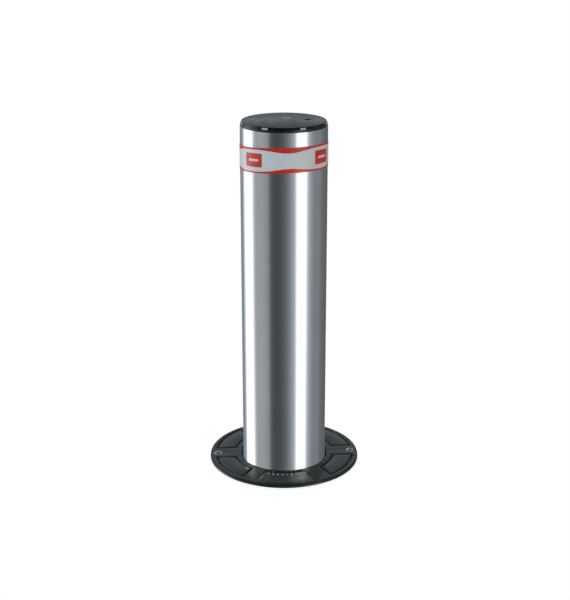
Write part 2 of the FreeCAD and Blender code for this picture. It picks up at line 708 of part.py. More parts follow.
def anchor_lugs():
    low = LUG_TOP - LUG_H
    root_r = CASING_R - LUG_ROOT
    leg = box(root_r, CASING_R + LUG_T, LUG_W, low, LUG_TOP)
    arm = box(root_r, CASING_R + LUG_REACH, LUG_W, low - LUG_T, low)
    lug = leg.fuse(arm).cut(rod(CASING_R + FIT, low - LUG_T - 1, LUG_TOP + 1))
    return Part.Compound(around(lug.removeSplitter(), QUARTERS))


def pipe_stub(radius, bore_r, length, z):
    stub = radial_rod(radius, CASING_BORE_R - 10, CASING_R + length, z)
    stub = stub.cut(radial_rod(bore_r, 0, CASING_R + length + 1, z))
    return stub.cut(rod(CASING_BORE_R, z - 2 * radius, z + 2 * radius))


def drain_stub():
    z = drain_place()
    collar = radial_rod(DRAIN_COLLAR_R, CASING_BORE_R, CASING_R + DRAIN_COLLAR_L, z)
    collar = collar.cut(radial_rod(DRAIN_R, 0, CASING_R + DRAIN_L, z))
    collar = collar.cut(rod(CASING_R + FIT, z - 2 * DRAIN_COLLAR_R, z + 2 * DRAIN_COLLAR_R))
    stub = pipe_stub(DRAIN_R, DRAIN_BORE_R, DRAIN_L, z).fuse(collar)
    return turned(stub.removeSplitter(), 90.0)


def conduit_stub():
    return pipe_stub(CONDUIT_R, CONDUIT_BORE_R, CONDUIT_L, conduit_place())


# ---- guides, seal and stops ----
def weep_holes(z_low, z_high):
    place_r = CASING_BORE_R - WEEP_R - 2
    return around(rod(WEEP_R, z_low, z_high, place_r), evenly(WEEP_COUNT, 15.0))


def guide_collar():
    outer_r = CASING_BORE_R - COLLAR_GAP
    collar = rod(outer_r, COLLAR_BOTTOM, 0)
    cuts = [
        rod(BUSH_R + BUSH_WALL / 2, COLLAR_BOTTOM - 1, COLLAR_BOTTOM + COLLAR_LIP_H + 1),
        rod(BUSH_R + BUSH_WALL + FIT, COLLAR_BOTTOM + COLLAR_LIP_H, 1),
        rod(SEAL_R + FIT, -SEAL_H, 1),
    ]
    return cut_all(collar, cuts + weep_holes(COLLAR_BOTTOM - 1, 1)).removeSplitter()


def guide_bush():
    return ring(BUSH_R, BUSH_R + BUSH_WALL, COLLAR_BOTTOM + COLLAR_LIP_H, -SEAL_H)


def wiper_seal():
    seal = ring(BUSH_R, SEAL_R, -SEAL_H, 0)
    return seal.fuse(ring(BUSH_R, BUSH_R + SEAL_LIP_W, 0, SEAL_LIP_UP)).removeSplitter()


def collar_ledge():
    ledge = ring(BUSH_R + BUSH_WALL / 2, CASING_BORE_R - FIT, LEDGE_BOTTOM, COLLAR_BOTTOM)
    return cut_all(ledge, weep_holes(LEDGE_BOTTOM - 1, COLLAR_BOTTOM + 1))


def upper_buffer():
    inner_r = BUSH_R + BUSH_WALL / 2
    return ring(inner_r, inner_r + UPPER_BUFFER_W, UPPER_BUFFER_BOTTOM, LEDGE_BOTTOM)


def guide_rails():
    outer_r = math.sqrt(KEY_OUTER_R**2 - (KEY_W / 2) ** 2)
    rail = box(KEY_INNER_R, outer_r, KEY_W, RAIL_BOTTOM, RAIL_TOP)
    return Part.Compound(around(rail, (0.0, 180.0)))


def sensor_rail():
    rail = box(
        SENSOR_RAIL_INNER_R, SENSOR_RAIL_OUTER_R, SENSOR_RAIL_W, RAIL_BOTTOM, RAIL_TOP
    )
    return turned(rail, 90.0)


def limit_sensors():
    made = []
    for z in (RING_MID, RING_MID - TRAVEL):
        sensor = box(
            SENSOR_INNER_R, SENSOR_RAIL_INNER_R, SENSOR_W, z - SENSOR_H / 2, z + SENSOR_H / 2
        )
        made.append(turned(sensor, 90.0))
    return Part.Compound(made)


# ---- screw and its bearings ----
def drive_screw():
    screw = rod(SCREW_R, BEARING_TOP, STEADY_BOTTOM)
    screw = screw.fuse(rod(STEADY_JOURNAL_R, STEADY_BOTTOM, STEADY_TOP + STEADY_NUT_T + 1))
    screw = screw.fuse(rod(BEARING_BORE_R - FIT, LOCK_RING_BOTTOM, BEARING_TOP))
    return screw.fuse(rod(STUB_R - FIT, STUB_BOTTOM, LOCK_RING_BOTTOM)).removeSplitter()


def steady_disc():
    disc = ring(
        STEADY_JOURNAL_R + FIT, TUBE_BORE_R - STEADY_GAP, STEADY_BOTTOM, STEADY_TOP
    )
    vent = rod(STEADY_VENT_R, STEADY_BOTTOM - 1, STEADY_TOP + 1, STEADY_VENT_PLACE_R)
    return cut_all(disc, around(vent, evenly(STEADY_VENT_COUNT)))


def steady_nut():
    nut = hexagon(STEADY_NUT_ACROSS, STEADY_TOP, STEADY_TOP + STEADY_NUT_T)
    bore = rod(STEADY_JOURNAL_R + FIT, STEADY_TOP - 1, STEADY_TOP + STEADY_NUT_T + 1)
    return nut.cut(bore)


def bearing_rings(inner_r, outer_r):
    """Two rings, one above the other, each with its ball groove."""
    track_r = (BEARING_BORE_R + BEARING_OUTER_R) / 2
    made = []
    for upper in (0, 1):
        low = BEARING_BOTTOM + upper * BEARING_H
        groove = Part.makeTorus(
            track_r, RACE_BALL_R + SLIP, FreeCAD.Vector(0, 0, low + BEARING_H / 2)
        )
        made.append(ring(inner_r, outer_r, low, low + BEARING_H - SLIP).cut(groove))
    return Part.Compound(made)


def bearing_inner_rings():
    return bearing_rings(BEARING_BORE_R, BEARING_BORE_R + RACE_T)


def bearing_outer_rings():
    return bearing_rings(BEARING_OUTER_R - RACE_T, BEARING_OUTER_R)


def screw_lock_ring():
    round_nut = ring(BEARING_BORE_R, LOCK_RING_R, LOCK_RING_BOTTOM, BEARING_BOTTOM)
    slot = box(
        LOCK_RING_R - LOCK_RING_SLOT_DEEP,
        LOCK_RING_R + 1,
        LOCK_RING_SLOT_W,
        LOCK_RING_BOTTOM - 1,
        BEARING_BOTTOM + 1,
    )
    return cut_all(round_nut, around(slot, evenly(4)))


def housing_screw_r():
    return PILLAR_BORE_R + PILLAR_WALL / 2


def retainer_screw_r():
    return (RETAINER_R + BEARING_OUTER_R) / 2


def bearing_housing():
    flange_r = KEY_INNER_R - 2 * KEY_GAP
    housing = rod(flange_r, PILLAR_TOP, HOUSING_FLANGE_TOP)
    housing = housing.fuse(rod(TUBE_BORE_R - LANDING_GAP, HOUSING_FLANGE_TOP, HOUSING_TOP))
    housing = housing.fuse(rod(PILLAR_BORE_R - SLIP, HOUSING_BOTTOM, PILLAR_TOP))
    cuts = [
        rod(RETAINER_R + SLIP, BEARING_TOP, HOUSING_TOP + 1),
        rod(BEARING_OUTER_R + FIT, BEARING_BOTTOM, BEARING_TOP + 1),
        rod(LOCK_RING_R + LOCK_RING_GAP, HOUSING_BOTTOM - 1, BEARING_BOTTOM + 1),
    ]
    tapped = rod(
        SMALL_SCREW_R + FIT, BEARING_TOP - SMALL_SCREW_L, BEARING_TOP + 1, retainer_screw_r()
    )
    seat = HOUSING_FLANGE_TOP - SMALL_HEAD_H
    through = rod(SMALL_SCREW_R + SLIP, PILLAR_TOP - 1, seat + 1, housing_screw_r())
    through = through.fuse(
        rod(SMALL_HEAD_R + SLIP, seat, HOUSING_FLANGE_TOP + 1, housing_screw_r())
    )
    cuts += around(tapped, evenly(4)) + around(through, QUARTERS)
    return cut_all(housing, cuts).removeSplitter()


def bearing_retainer():
    plate = ring(SCREW_R + RETAINER_BORE_GAP, RETAINER_R, BEARING_TOP, HOUSING_TOP)
    hole = rod(SMALL_SCREW_R + SLIP, BEARING_TOP - 1, HOUSING_TOP + 1, retainer_screw_r())
    sink = rod(
        SMALL_HEAD_R + SLIP, HOUSING_TOP - SMALL_HEAD_H, HOUSING_TOP + 1, retainer_screw_r()
    )
    return cut_all(plate, around(hole.fuse(sink), evenly(4)))


def lower_buffer():
    return ring(
        TUBE_BORE_R, KEY_INNER_R - 2 * KEY_GAP - 1, HOUSING_FLANGE_TOP, LOWER_BUFFER_TOP
    )


# ---- pillar ----
def foot_screw_r():
    return PILLAR_R + PILLAR_FOOT_W / 2


def drive_pillar():
    pillar = ring(PILLAR_BORE_R, PILLAR_R, FLOOR, PILLAR_TOP)
    pillar = pillar.fuse(
        ring(PILLAR_BORE_R, PILLAR_R + PILLAR_FOOT_W, FLOOR, FLOOR + PILLAR_FOOT_T)
    )
    foot_top = FLOOR + PILLAR_FOOT_T
    foot_hole = rod(PILLAR_SCREW_R + SLIP, FLOOR - 1, foot_top, foot_screw_r())
    foot_hole = foot_hole.fuse(
        rod(PILLAR_HEAD_R + SLIP, foot_top - PILLAR_HEAD_H, foot_top + 1, foot_screw_r())
    )
    drain = box(
        PILLAR_BORE_R - 2, CASING_R, PILLAR_DRAIN_W, FLOOR - 1, FLOOR + PILLAR_FOOT_T / 2
    )
    tapped = rod(
        SMALL_SCREW_R + FIT,
        HOUSING_FLANGE_TOP - SMALL_HEAD_H - SMALL_SCREW_L - 1,
        PILLAR_TOP + 1,
        housing_screw_r(),
    )
    gland = radial_rod(GLAND_R + FIT, PILLAR_BORE_R - 2, PILLAR_R + 2, FLOOR + GLAND_LIFT)
    bell_mid = (FRONT_BELL_TOP + FRONT_BELL_BOTTOM) / 2
    side = radial_rod(SMALL_SCREW_R + SLIP, PILLAR_BORE_R - 2, PILLAR_R + 2, bell_mid)
    side = side.fuse(
        radial_rod(SMALL_HEAD_R + SLIP, PILLAR_R - SMALL_HEAD_H, PILLAR_R + 2, bell_mid)
    )
    cuts = around(foot_hole, QUARTERS) + around(drain, evenly(4)) + around(tapped, QUARTERS)
    cuts += around(side, QUARTERS) + [turned(gland, 180.0)]
    return cut_all(pillar, cuts).removeSplitter()


def pillar_screws():
    screw = cap_screw(
        PILLAR_SCREW_R,
        PILLAR_HEAD_R,
        PILLAR_HEAD_H,
        PILLAR_FOOT_T - PILLAR_HEAD_H + BASE_T - PILLAR_TIP_GAP,
        FLOOR + PILLAR_FOOT_T,
        foot_screw_r(),
    )
    return Part.Compound(around(screw, QUARTERS))


def cable_gland():
    z = FLOOR + GLAND_LIFT
    head = hexagon(GLAND_ACROSS, 0, GLAND_HEAD_L)
    head.rotate(FreeCAD.Vector(0, 0, 0), FreeCAD.Vector(0, 1, 0), 90)
    head.translate(FreeCAD.Vector(PILLAR_R, 0, z))
    gland = head.cut(rod(PILLAR_R + FIT, z - GLAND_ACROSS, z + GLAND_ACROSS))
    gland = gland.fuse(radial_rod(GLAND_R, PILLAR_BORE_R - 4, PILLAR_R + GLAND_L, z))
    gland = gland.cut(radial_rod(GLAND_BORE_R, 0, CASING_R, z))
    return turned(gland.removeSplitter(), 180.0)


# ---- coupling ----
def coupling_hub(bore_r, z_low, z_high, jaws_low, jaws_high, first):
    hub = ring(bore_r, COUPLING_R, z_low, z_high)
    jaw = sector(COUPLING_R / 2, COUPLING_R, jaws_low, jaws_high, JAW_DEGREES)
    for one in around(jaw, (first, first + 180.0)):
        hub = hub.fuse(one)
    return hub.removeSplitter()


def coupling_upper():
    return coupling_hub(
        STUB_R, SPIDER_TOP, UPPER_HUB_TOP, SPIDER_BOTTOM + SLIP, SPIDER_TOP, 0.0
    )


def coupling_lower():
    return coupling_hub(
        SHAFT_R, LOWER_HUB_BOTTOM, SPIDER_BOTTOM, SPIDER_BOTTOM, SPIDER_TOP - SLIP, 90.0
    )


def coupling_spider():
    lobe_degrees = 90.0 - JAW_DEGREES - 1.0
    low, high = SPIDER_BOTTOM + SLIP, SPIDER_TOP - SLIP
    spider = rod(COUPLING_R / 2 - SLIP, low, high)
    lobe = sector(COUPLING_R / 2 - 2, COUPLING_R - 1, low, high, lobe_degrees)
    for one in around(lobe, QUARTERS):
        spider = spider.fuse(one)
    return spider.removeSplitter()


# ---- motor ----
def motor_front_bell():
    bell = rod(PILLAR_BORE_R - SLIP, FRONT_BELL_BOTTOM, FRONT_BELL_TOP)
    middle = (FRONT_BELL_TOP + FRONT_BELL_BOTTOM) / 2
    tapped = radial_rod(SMALL_SCREW_R + FIT, PILLAR_BORE_R - SMALL_SCREW_L, PILLAR_R, middle)
    cuts = around(tapped, QUARTERS)
    pocket_top = FRONT_BELL_BOTTOM + SMALL_BEARING_H
    cuts.append(rod(SMALL_BEARING_R + FIT, FRONT_BELL_BOTTOM - 1, pocket_top))
    cuts.append(rod(SHAFT_R + 1, FRONT_BELL_BOTTOM, FRONT_BELL_TOP + 1))
    return cut_all(bell, cuts).removeSplitter()


def motor_rear_bell():
    bell = rod(MOTOR_R, REAR_BELL_BOTTOM, CASE_BOTTOM)
    return bell.cut(rod(SMALL_BEARING_R + FIT, CASE_BOTTOM - SMALL_BEARING_H, CASE_BOTTOM + 1))


def motor_case():
    return ring(MOTOR_R - MOTOR_CASE_WALL, MOTOR_R, CASE_BOTTOM, FRONT_BELL_BOTTOM)


def motor_bearings():
    upper = ring(
        SHAFT_R + SHAFT_GAP,
        SMALL_BEARING_R,
        FRONT_BELL_BOTTOM,
        FRONT_BELL_BOTTOM + SMALL_BEARING_H - SLIP,
    )
    lower = ring(
        SHAFT_R + SHAFT_GAP, SMALL_BEARING_R, CASE_BOTTOM - SMALL_BEARING_H + SLIP, CASE_BOTTOM
    )
    return Part.Compound([upper, lower])


def m4_screws():
    """The like screws of the retainer, the bearing housing and the motor's front bell."""
    screw = cap_screw(SMALL_SCREW_R, SMALL_HEAD_R, SMALL_HEAD_H, SMALL_SCREW_L, 0)
    made = []
    places = (
        (retainer_screw_r(), HOUSING_TOP, evenly(4)),
        (housing_screw_r(), HOUSING_FLANGE_TOP, QUARTERS),
    )
    for place_r, z, angles in places:
        upright = screw.copy()
        upright.translate(FreeCAD.Vector(place_r, 0, z))
        made += around(upright, angles)
    sideways = screw.copy()
    sideways.rotate(FreeCAD.Vector(0, 0, 0), FreeCAD.Vector(0, 1, 0), 90)
    sideways.translate(FreeCAD.Vector(PILLAR_R, 0, (FRONT_BELL_TOP + FRONT_BELL_BOTTOM) / 2))
    return Part.Compound(made + around(sideways, QUARTERS))


def stator_core():
    core = ring(STATOR_BORE_R, STATOR_R, STACK_BOTTOM, STACK_TOP)
    low, high = STACK_BOTTOM - 1, STACK_TOP + 1
    slot = box(SLOT_INNER_R, SLOT_INNER_R + SLOT_DEEP, SLOT_W, low, high)
    slot = slot.fuse(box(STATOR_BORE_R - 2, SLOT_INNER_R + 1, SLOT_MOUTH, low, high))
    return cut_all(core, around(slot, evenly(SLOT_COUNT))).removeSplitter()


def stator_coils():
    coil = box(
        SLOT_INNER_R + COIL_GAP,
        SLOT_INNER_R + SLOT_DEEP - COIL_GAP,
        SLOT_W - 2 * COIL_GAP,
        STACK_BOTTOM - COIL_OVERHANG,
        STACK_TOP + COIL_OVERHANG,
    )
    return Part.Compound(around(coil, evenly(SLOT_COUNT)))


def rotor():
    shaft = rod(SHAFT_R, CASE_BOTTOM - SMALL_BEARING_H + 2 * SLIP, SPIDER_BOTTOM - SLIP)
    return shaft.fuse(rod(ROTOR_CORE_R, STACK_BOTTOM, STACK_TOP)).removeSplitter()


def rotor_magnets():
    degrees = 360.0 / POLE_COUNT - MAGNET_SPACE_DEGREES
    magnet = sector(ROTOR_CORE_R, ROTOR_CORE_R + MAGNET_T, STACK_BOTTOM, STACK_TOP, degrees)
    return Part.Compound(around(magnet, evenly(POLE_COUNT)))


NODES = (
    bollard_tube, head_cap, cap_o_ring, cap_screws, head_plate, led_windows, led_board,
    lock_body, lock_nut, lock_barrel, lock_cam, key_switch, reflective_band,
    lower_guide_ring, position_magnet, skirt_screws, nut_carrier, drive_nut, nut_screws,
    ground_cover, cover_screws, casing_flange, casing_tube, base_plate, anchor_lugs,
    drain_stub, conduit_stub, guide_collar, guide_bush, wiper_seal, collar_ledge,
    upper_buffer, guide_rails, sensor_rail, limit_sensors, drive_screw, steady_disc,
    steady_nut, bearing_inner_rings, bearing_outer_rings, screw_lock_ring, bearing_housing,
    bearing_retainer, lower_buffer, drive_pillar, pillar_screws, cable_gland,
    coupling_upper, coupling_lower, coupling_spider, motor_front_bell, motor_rear_bell,
    motor_case, motor_bearings, m4_screws, stator_core, stator_coils, rotor,
    rotor_magnets,
)

os.makedirs("parts", exist_ok=True)
for make in NODES:
    make().exportStep("parts/" + make.__name__ + ".step")
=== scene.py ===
import math

import bmesh
import bpy
from mathutils import Matrix, Vector


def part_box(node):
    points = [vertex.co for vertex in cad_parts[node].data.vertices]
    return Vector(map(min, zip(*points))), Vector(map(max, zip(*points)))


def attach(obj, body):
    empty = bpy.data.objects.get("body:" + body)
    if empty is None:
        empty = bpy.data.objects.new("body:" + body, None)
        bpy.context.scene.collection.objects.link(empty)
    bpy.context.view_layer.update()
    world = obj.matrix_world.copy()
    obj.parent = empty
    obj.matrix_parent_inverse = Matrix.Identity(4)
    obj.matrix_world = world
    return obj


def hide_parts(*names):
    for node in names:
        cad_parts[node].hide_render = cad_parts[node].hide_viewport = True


# Retractable driveway bollard with its foundation casing, standing raised in a pale ground.
# Metres. The origin is on the bollard's axis at ground level, -Y is the front.

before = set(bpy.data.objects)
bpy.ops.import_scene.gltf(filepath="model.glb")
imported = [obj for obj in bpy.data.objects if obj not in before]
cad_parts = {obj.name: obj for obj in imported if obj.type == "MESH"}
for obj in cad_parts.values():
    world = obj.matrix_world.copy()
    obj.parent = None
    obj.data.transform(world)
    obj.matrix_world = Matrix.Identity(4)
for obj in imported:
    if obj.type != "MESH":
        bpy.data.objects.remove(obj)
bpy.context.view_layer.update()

MM = 0.001
ROUND = 192  # steps round the large turned pieces
SMALL_ROUND = 48
MERGE = 2e-6
FRONT = -90.0
SHARP_DEGREES = 35.0  # an edge sharper than this takes a bevel


# ---- sizes read from the frame ----
def outside_radius(node):
    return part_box(node)[1].x


def levels(node):
    low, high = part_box(node)
    return low.z, high.z


TUBE_R = outside_radius("bollard_tube")
TUBE_LOW, TUBE_TOP = levels("bollard_tube")
TUBE_WALL = 4.0 * MM  # not given by the frame's boxes
TUBE_BORE_R = TUBE_R - TUBE_WALL
CAP_TOP = levels("head_cap")[1]
CAP_UNDER = levels("head_cap")[0]
CAP_R = outside_radius("head_cap")
COVER_R = outside_radius("ground_cover")
COVER_TOP = levels("ground_cover")[1]
CASING_R = outside_radius("base_plate")
CASING_WALL = 3.0 * MM  # not given by the frame's boxes
CASING_BORE_R = CASING_R - CASING_WALL
FLANGE_R = outside_radius("casing_flange")
FLANGE_LOW = levels("casing_flange")[0]
BASE_LOW, BASE_TOP = levels("base_plate")
COVER_TURN = 3.0  # degrees that the cover is turned from square
SCREW_PLACE_R = 93.5 * MM  # of the screws in the cover and the flange


# ---- working with operators ----
def clear_selection():
    if bpy.context.mode != "OBJECT":
        bpy.ops.object.mode_set(mode="OBJECT")
    bpy.ops.object.select_all(action="DESELECT")


def pick(piece):
    clear_selection()
    piece.select_set(True)
    bpy.context.view_layer.objects.active = piece


def settle(piece):
    """The piece's place goes into its mesh."""
    pick(piece)
    bpy.ops.object.transform_apply(location=True, rotation=True, scale=True)


def named(name):
    piece = bpy.context.object
    piece.name = name
    piece.data.name = name
    settle(piece)
    return piece


def soften(piece, degrees=30.0):
    pick(piece)
    bpy.ops.object.shade_smooth_by_angle(angle=math.radians(degrees))


def modified(piece, kind, **values):
    pick(piece)
    modifier = piece.modifiers.new(kind.lower(), kind)
    for key, value in values.items():
        setattr(modifier, key, value)
    bpy.ops.object.modifier_apply(modifier=modifier.name)


def eased(piece, width, segments=2, degrees=SHARP_DEGREES):
    """Every edge sharper than this angle gets a small round."""
    modified(
        piece, "BEVEL", width=width, segments=segments, limit_method="ANGLE",
        angle_limit=math.radians(degrees), harden_normals=True, use_clamp_overlap=True,
    )


def joined(pieces, name=None):
    pick(pieces[0])
    for piece in pieces[1:]:
        piece.select_set(True)
    if len(pieces) > 1:
        bpy.ops.object.join()
    piece = bpy.context.object
    if name:
        piece.name = name
        piece.data.name = name
    return piece


def cut_away(piece, tools, tangled=False):
    """tangled is for a tool whose bevelled faces may cross each other."""
    tool = joined(tools)
    modified(
        piece, "BOOLEAN", operation="DIFFERENCE", solver="EXACT", use_self=tangled, object=tool)
    bpy.data.objects.remove(tool)


def added_to(piece, others):
    tool = joined(others)
    modified(piece, "BOOLEAN", operation="UNION", solver="EXACT", object=tool)
    bpy.data.objects.remove(tool)


def turned_copy(piece, degrees):
    """A copy with its own mesh, turned round the bollard's axis."""
    twin = piece.copy()
    twin.data = piece.data.copy()
    bpy.context.collection.objects.link(twin)
    twin.rotation_euler.z = math.radians(degrees)
    settle(twin)
    return twin


def turned_itself(piece, degrees):
    piece.rotation_euler.z = math.radians(degrees)
    settle(piece)
    return piece


def all_round(piece, angles):
    """A piece made on the X axis is turned to the first angle, with copies at the others."""
    copies = [turned_copy(piece, angle) for angle in angles[1:]]
    return [turned_itself(piece, angles[0])] + copies


def evenly(count, first=0.0):
    return [first + 360.0 * step / count for step in range(count)]


def close_mesh(fill):
    bpy.ops.mesh.select_all(action="SELECT")
    if fill:
        bpy.ops.mesh.fill_holes(sides=0)
    bpy.ops.mesh.remove_doubles(threshold=MERGE)
    bpy.ops.mesh.select_all(action="SELECT")
    bpy.ops.mesh.normals_make_consistent(inside=False)
    bpy.ops.object.mode_set(mode="OBJECT")


def lathe(name, outline, steps=ROUND, x=0.0, y=0.0, ring=True):
    """A turned piece: a circle is extruded along its outline of (radius, height) points.

    A ring's outline comes back to its start. A solid one ends in two flat faces.
    """
    clear_selection()
    radius, height = outline[0]
    bpy.ops.mesh.primitive_circle_add(vertices=steps, radius=radius, location=(x, y, height))
    piece = named(name)
    bpy.ops.object.mode_set(mode="EDIT")
    bpy.ops.mesh.select_all(action="SELECT")
    for next_radius, next_height in outline[1:] + (outline[:1] if ring else []):
        bpy.ops.mesh.extrude_edges_move(
            TRANSFORM_OT_translate={"value": (0.0, 0.0, next_height - height)}
        )
        ratio = next_radius / radius
        bpy.ops.transform.resize(value=(ratio, ratio, 1.0), center_override=(x, y, next_height))
        radius, height = next_radius, next_height
    close_mesh(fill=not ring)
    return piece


def corner(radius, height, size, start, steps=4):
    """Points of a quarter round of an outline, about (radius, height), from this angle."""
    points = []
    for step in range(steps + 1):
        angle = math.radians(start + 90.0 * step / steps)
        points.append((radius + size * math.cos(angle), height + size * math.sin(angle)))
    return points


def pipe_outline(bore, outer, low, high, ease):
    """Outline of a pipe with small rounds on its four edges, outside first."""
    return (
        corner(outer - ease, low + ease, ease, -90.0, 2)
        + corner(outer - ease, high - ease, ease, 0.0, 2)
        + corner(bore + ease, high - ease, ease, 90.0, 2)
        + corner(bore + ease, low + ease, ease, 180.0, 2)
    )


def block(name, size, place, degrees=0.0):
    """A box of this size, centred on place before it is turned round the axis."""
    clear_selection()
    bpy.ops.mesh.primitive_cube_add(size=1.0, location=place)
    piece = bpy.context.object
    piece.scale = size
    piece = named(name)
    if degrees:
        piece.rotation_euler.z = math.radians(degrees)
        settle(piece)
    return piece


def rod(name, radius, low, high, x=0.0, y=0.0, steps=SMALL_ROUND):
    clear_selection()
    bpy.ops.mesh.primitive_cone_add(
        vertices=steps, radius1=radius, radius2=radius, depth=high - low,
        location=(x, y, (low + high) / 2),
    )
    return named(name)


def lie_along_x(piece, z):
    """A piece made round the Z axis at the origin is laid along +X at this height."""
    piece.rotation_euler.y = math.radians(90.0)
    settle(piece)
    piece.location.z = z
    settle(piece)
    return piece


def select_edges(piece, wanted):
    """Sharp edges whose two ends fit the test are selected in edit mode, and no others."""
    pick(piece)
    bpy.ops.object.mode_set(mode="EDIT")
    bpy.ops.mesh.select_mode(type="EDGE")
    bpy.ops.mesh.select_all(action="DESELECT")
    edit = bmesh.from_edit_mesh(piece.data)
    for edge in edit.edges:
        sharp = edge.calc_face_angle(0.0) > math.radians(SHARP_DEGREES)
        edge.select = sharp and wanted(edge.verts[0].co, edge.verts[1].co)
    bmesh.update_edit_mesh(piece.data)


def bevel_edges(piece, wanted, width, segments):
    select_edges(piece, wanted)
    bpy.ops.mesh.bevel(offset=width, offset_type="OFFSET", segments=segments, profile=0.5)
    bpy.ops.object.mode_set(mode="OBJECT")


def polar(radius, degrees):
    angle = math.radians(degrees)
    return radius * math.cos(angle), radius * math.sin(angle)


def ride_as(piece, body, slot, *nodes, smooth=30.0, finish=None):
    if smooth:
        soften(piece, smooth)
    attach(piece, body)
    if nodes:
        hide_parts(*nodes)
    piece.data.materials.clear()
    piece.data.materials.append(FINISHES[finish or slot])
    return piece


# ---- shader trees ----
class Tree:
    """Short ways to add to one node tree."""

    def __init__(self, tree):
        self.tree = tree

    def add(self, kind, settings=None, inputs=None):
        made = self.tree.nodes.new(kind)
        for key, value in (settings or {}).items():
            setattr(made, key, value)
        for key, value in (inputs or {}).items():
            self.feed(made.inputs[key], value)
        return made

    def feed(self, socket, value):
        if isinstance(value, bpy.types.NodeSocket):
            self.tree.links.new(value, socket)
        else:
            socket.default_value = value

    def math(self, operation, *values, clamp=False):
        made = self.add("ShaderNodeMath", {"operation": operation, "use_clamp": clamp})
        for index, value in enumerate(values):
            self.feed(made.inputs[index], value)
        return made.outputs[0]

    def blend(self, factor, first, second, mode="MIX"):
        made = self.add("ShaderNodeMix", {"data_type": "RGBA", "blend_type": mode})
        self.feed(made.inputs[0], factor)
        self.feed(made.inputs[6], first)
        self.feed(made.inputs[7], second)
        return made.outputs[2]

    def spread(self, value, low, high, to_low=0.0, to_high=1.0, smooth=True):
        """The value is carried from one range to another."""
        kind = "SMOOTHSTEP" if smooth else "LINEAR"
        made = self.add("ShaderNodeMapRange", {"interpolation_type": kind})
        for index, number in enumerate((value, low, high, to_low, to_high)):
            self.feed(made.inputs[index], number)
        return made.outputs[0]

    def ramp(self, value, stops):
        made = self.add("ShaderNodeValToRGB")
        band = made.color_ramp
        while len(band.elements) < len(stops):
            band.elements.new(1.0)
        for element, (place, colour) in zip(band.elements, stops):
            element.position = place
            element.color = rgba(colour)
        self.feed(made.inputs[0], value)
        return made.outputs[0]

    def noise(self, vector, scale, detail=3.0, roughness=0.5):
        made = self.add(
            "ShaderNodeTexNoise", None,
            {"Vector": vector, "Scale": scale, "Detail": detail, "Roughness": roughness},
        )
        return made.outputs["Fac"]

    def stretched(self, vector, scale):
        made = self.add("ShaderNodeMapping", None, {"Vector": vector, "Scale": scale})
        return made.outputs[0]

    def group(self, shared, **inputs):
        made = self.add("ShaderNodeGroup", {"node_tree": shared})
        for key, value in inputs.items():
            self.feed(made.inputs[key.replace("_", " ")], value)
        return made.outputs


def rgba(colour):
    if isinstance(colour, (int, float)):
        colour = (colour, colour, colour)
    return (*colour, 1.0)


def shared_group(name, inputs, outputs):
    """A node group with these inputs and outputs: the group, its tree, its entry and its exit."""
    group = bpy.data.node_groups.new(name, "ShaderNodeTree")
    for label, kind, default in inputs:
        socket = group.interface.new_socket(label, in_out="INPUT", socket_type=kind)
        if default is not None:
            socket.default_value = default
    for label, kind in outputs:
        group.interface.new_socket(label, in_out="OUTPUT", socket_type=kind)
    tree = Tree(group)
    entry = tree.add("NodeGroupInput").outputs
    leave = tree.add("NodeGroupOutput").inputs
    return group, tree, entry, leave


FLOAT, VECTOR = "NodeSocketFloat", "NodeSocketVector"


def make_grain():
    """Fine tooth and slow clouding of a surface, both from 0 to 1."""
    group, tree, entry, leave = shared_group(
        "surface_grain",
        [("Place", VECTOR, None), ("Fine Scale", FLOAT, 2000.0), ("Cloud Scale", FLOAT, 30.0)],
        [("Fine", FLOAT), ("Cloud", FLOAT)],
    )
    tree.feed(leave["Fine"], tree.noise(entry["Place"], entry["Fine Scale"], 4.0, 0.6))
    cloud = tree.noise(entry["Place"], entry["Cloud Scale"], 3.0, 0.55)
    tree.feed(leave["Cloud"], tree.spread(cloud, 0.3, 0.7))
    return group


def make_tool_marks():
    """Fine rings left by turning or by brushing round the axis, as a height from 0 to 1."""
    group, tree, entry, leave = shared_group(
        "tool_marks",
        [("Place", VECTOR, None), ("Along", FLOAT, 9000.0), ("Round", FLOAT, 60.0)],
        [("Height", FLOAT)],
    )
    scale = tree.add(
        "ShaderNodeCombineXYZ", None, {0: entry["Round"], 1: entry["Round"], 2: entry["Along"]}
    ).outputs[0]
    place = tree.stretched(entry["Place"], scale)
    tree.feed(leave["Height"], tree.noise(place, 1.0, 2.0, 0.5))
    return group


def make_grime():
    """A mask of dust and dirt in slow clouds."""
    group, tree, entry, leave = shared_group(
        "grime",
        [("Place", VECTOR, None), ("Amount", FLOAT, 0.3), ("Scale", FLOAT, 40.0)],
        [("Mask", FLOAT)],
    )
    cloud = tree.noise(entry["Place"], entry["Scale"], 6.0, 0.62)
    low = tree.math("SUBTRACT", 0.72, tree.math("MULTIPLY", entry["Amount"], 0.3))
    high = tree.math("ADD", low, 0.22)
    tree.feed(leave["Mask"], tree.spread(cloud, low, high))
    return group


GRAIN = make_grain()
TOOL_MARKS = make_tool_marks()
GRIME = make_grime()


def new_finish(name):
    """A material with its Principled shader, its tree and the piece's own coordinates."""
    material = bpy.data.materials.new(name)
    material.use_nodes = True
    material.node_tree.nodes.clear()
    tree = Tree(material.node_tree)
    shader = tree.add("ShaderNodeBsdfPrincipled")
    leave = tree.add("ShaderNodeOutputMaterial")
    tree.feed(leave.inputs["Surface"], shader.outputs[0])
    place = tree.add("ShaderNodeTexCoord").outputs["Object"]
    return material, tree, shader.inputs, place


def bumped(tree, inputs, height, strength, distance):
    bump = tree.add(
        "ShaderNodeBump", None, {"Height": height, "Strength": strength, "Distance": distance}
    )
    tree.feed(inputs["Normal"], bump.outputs[0])


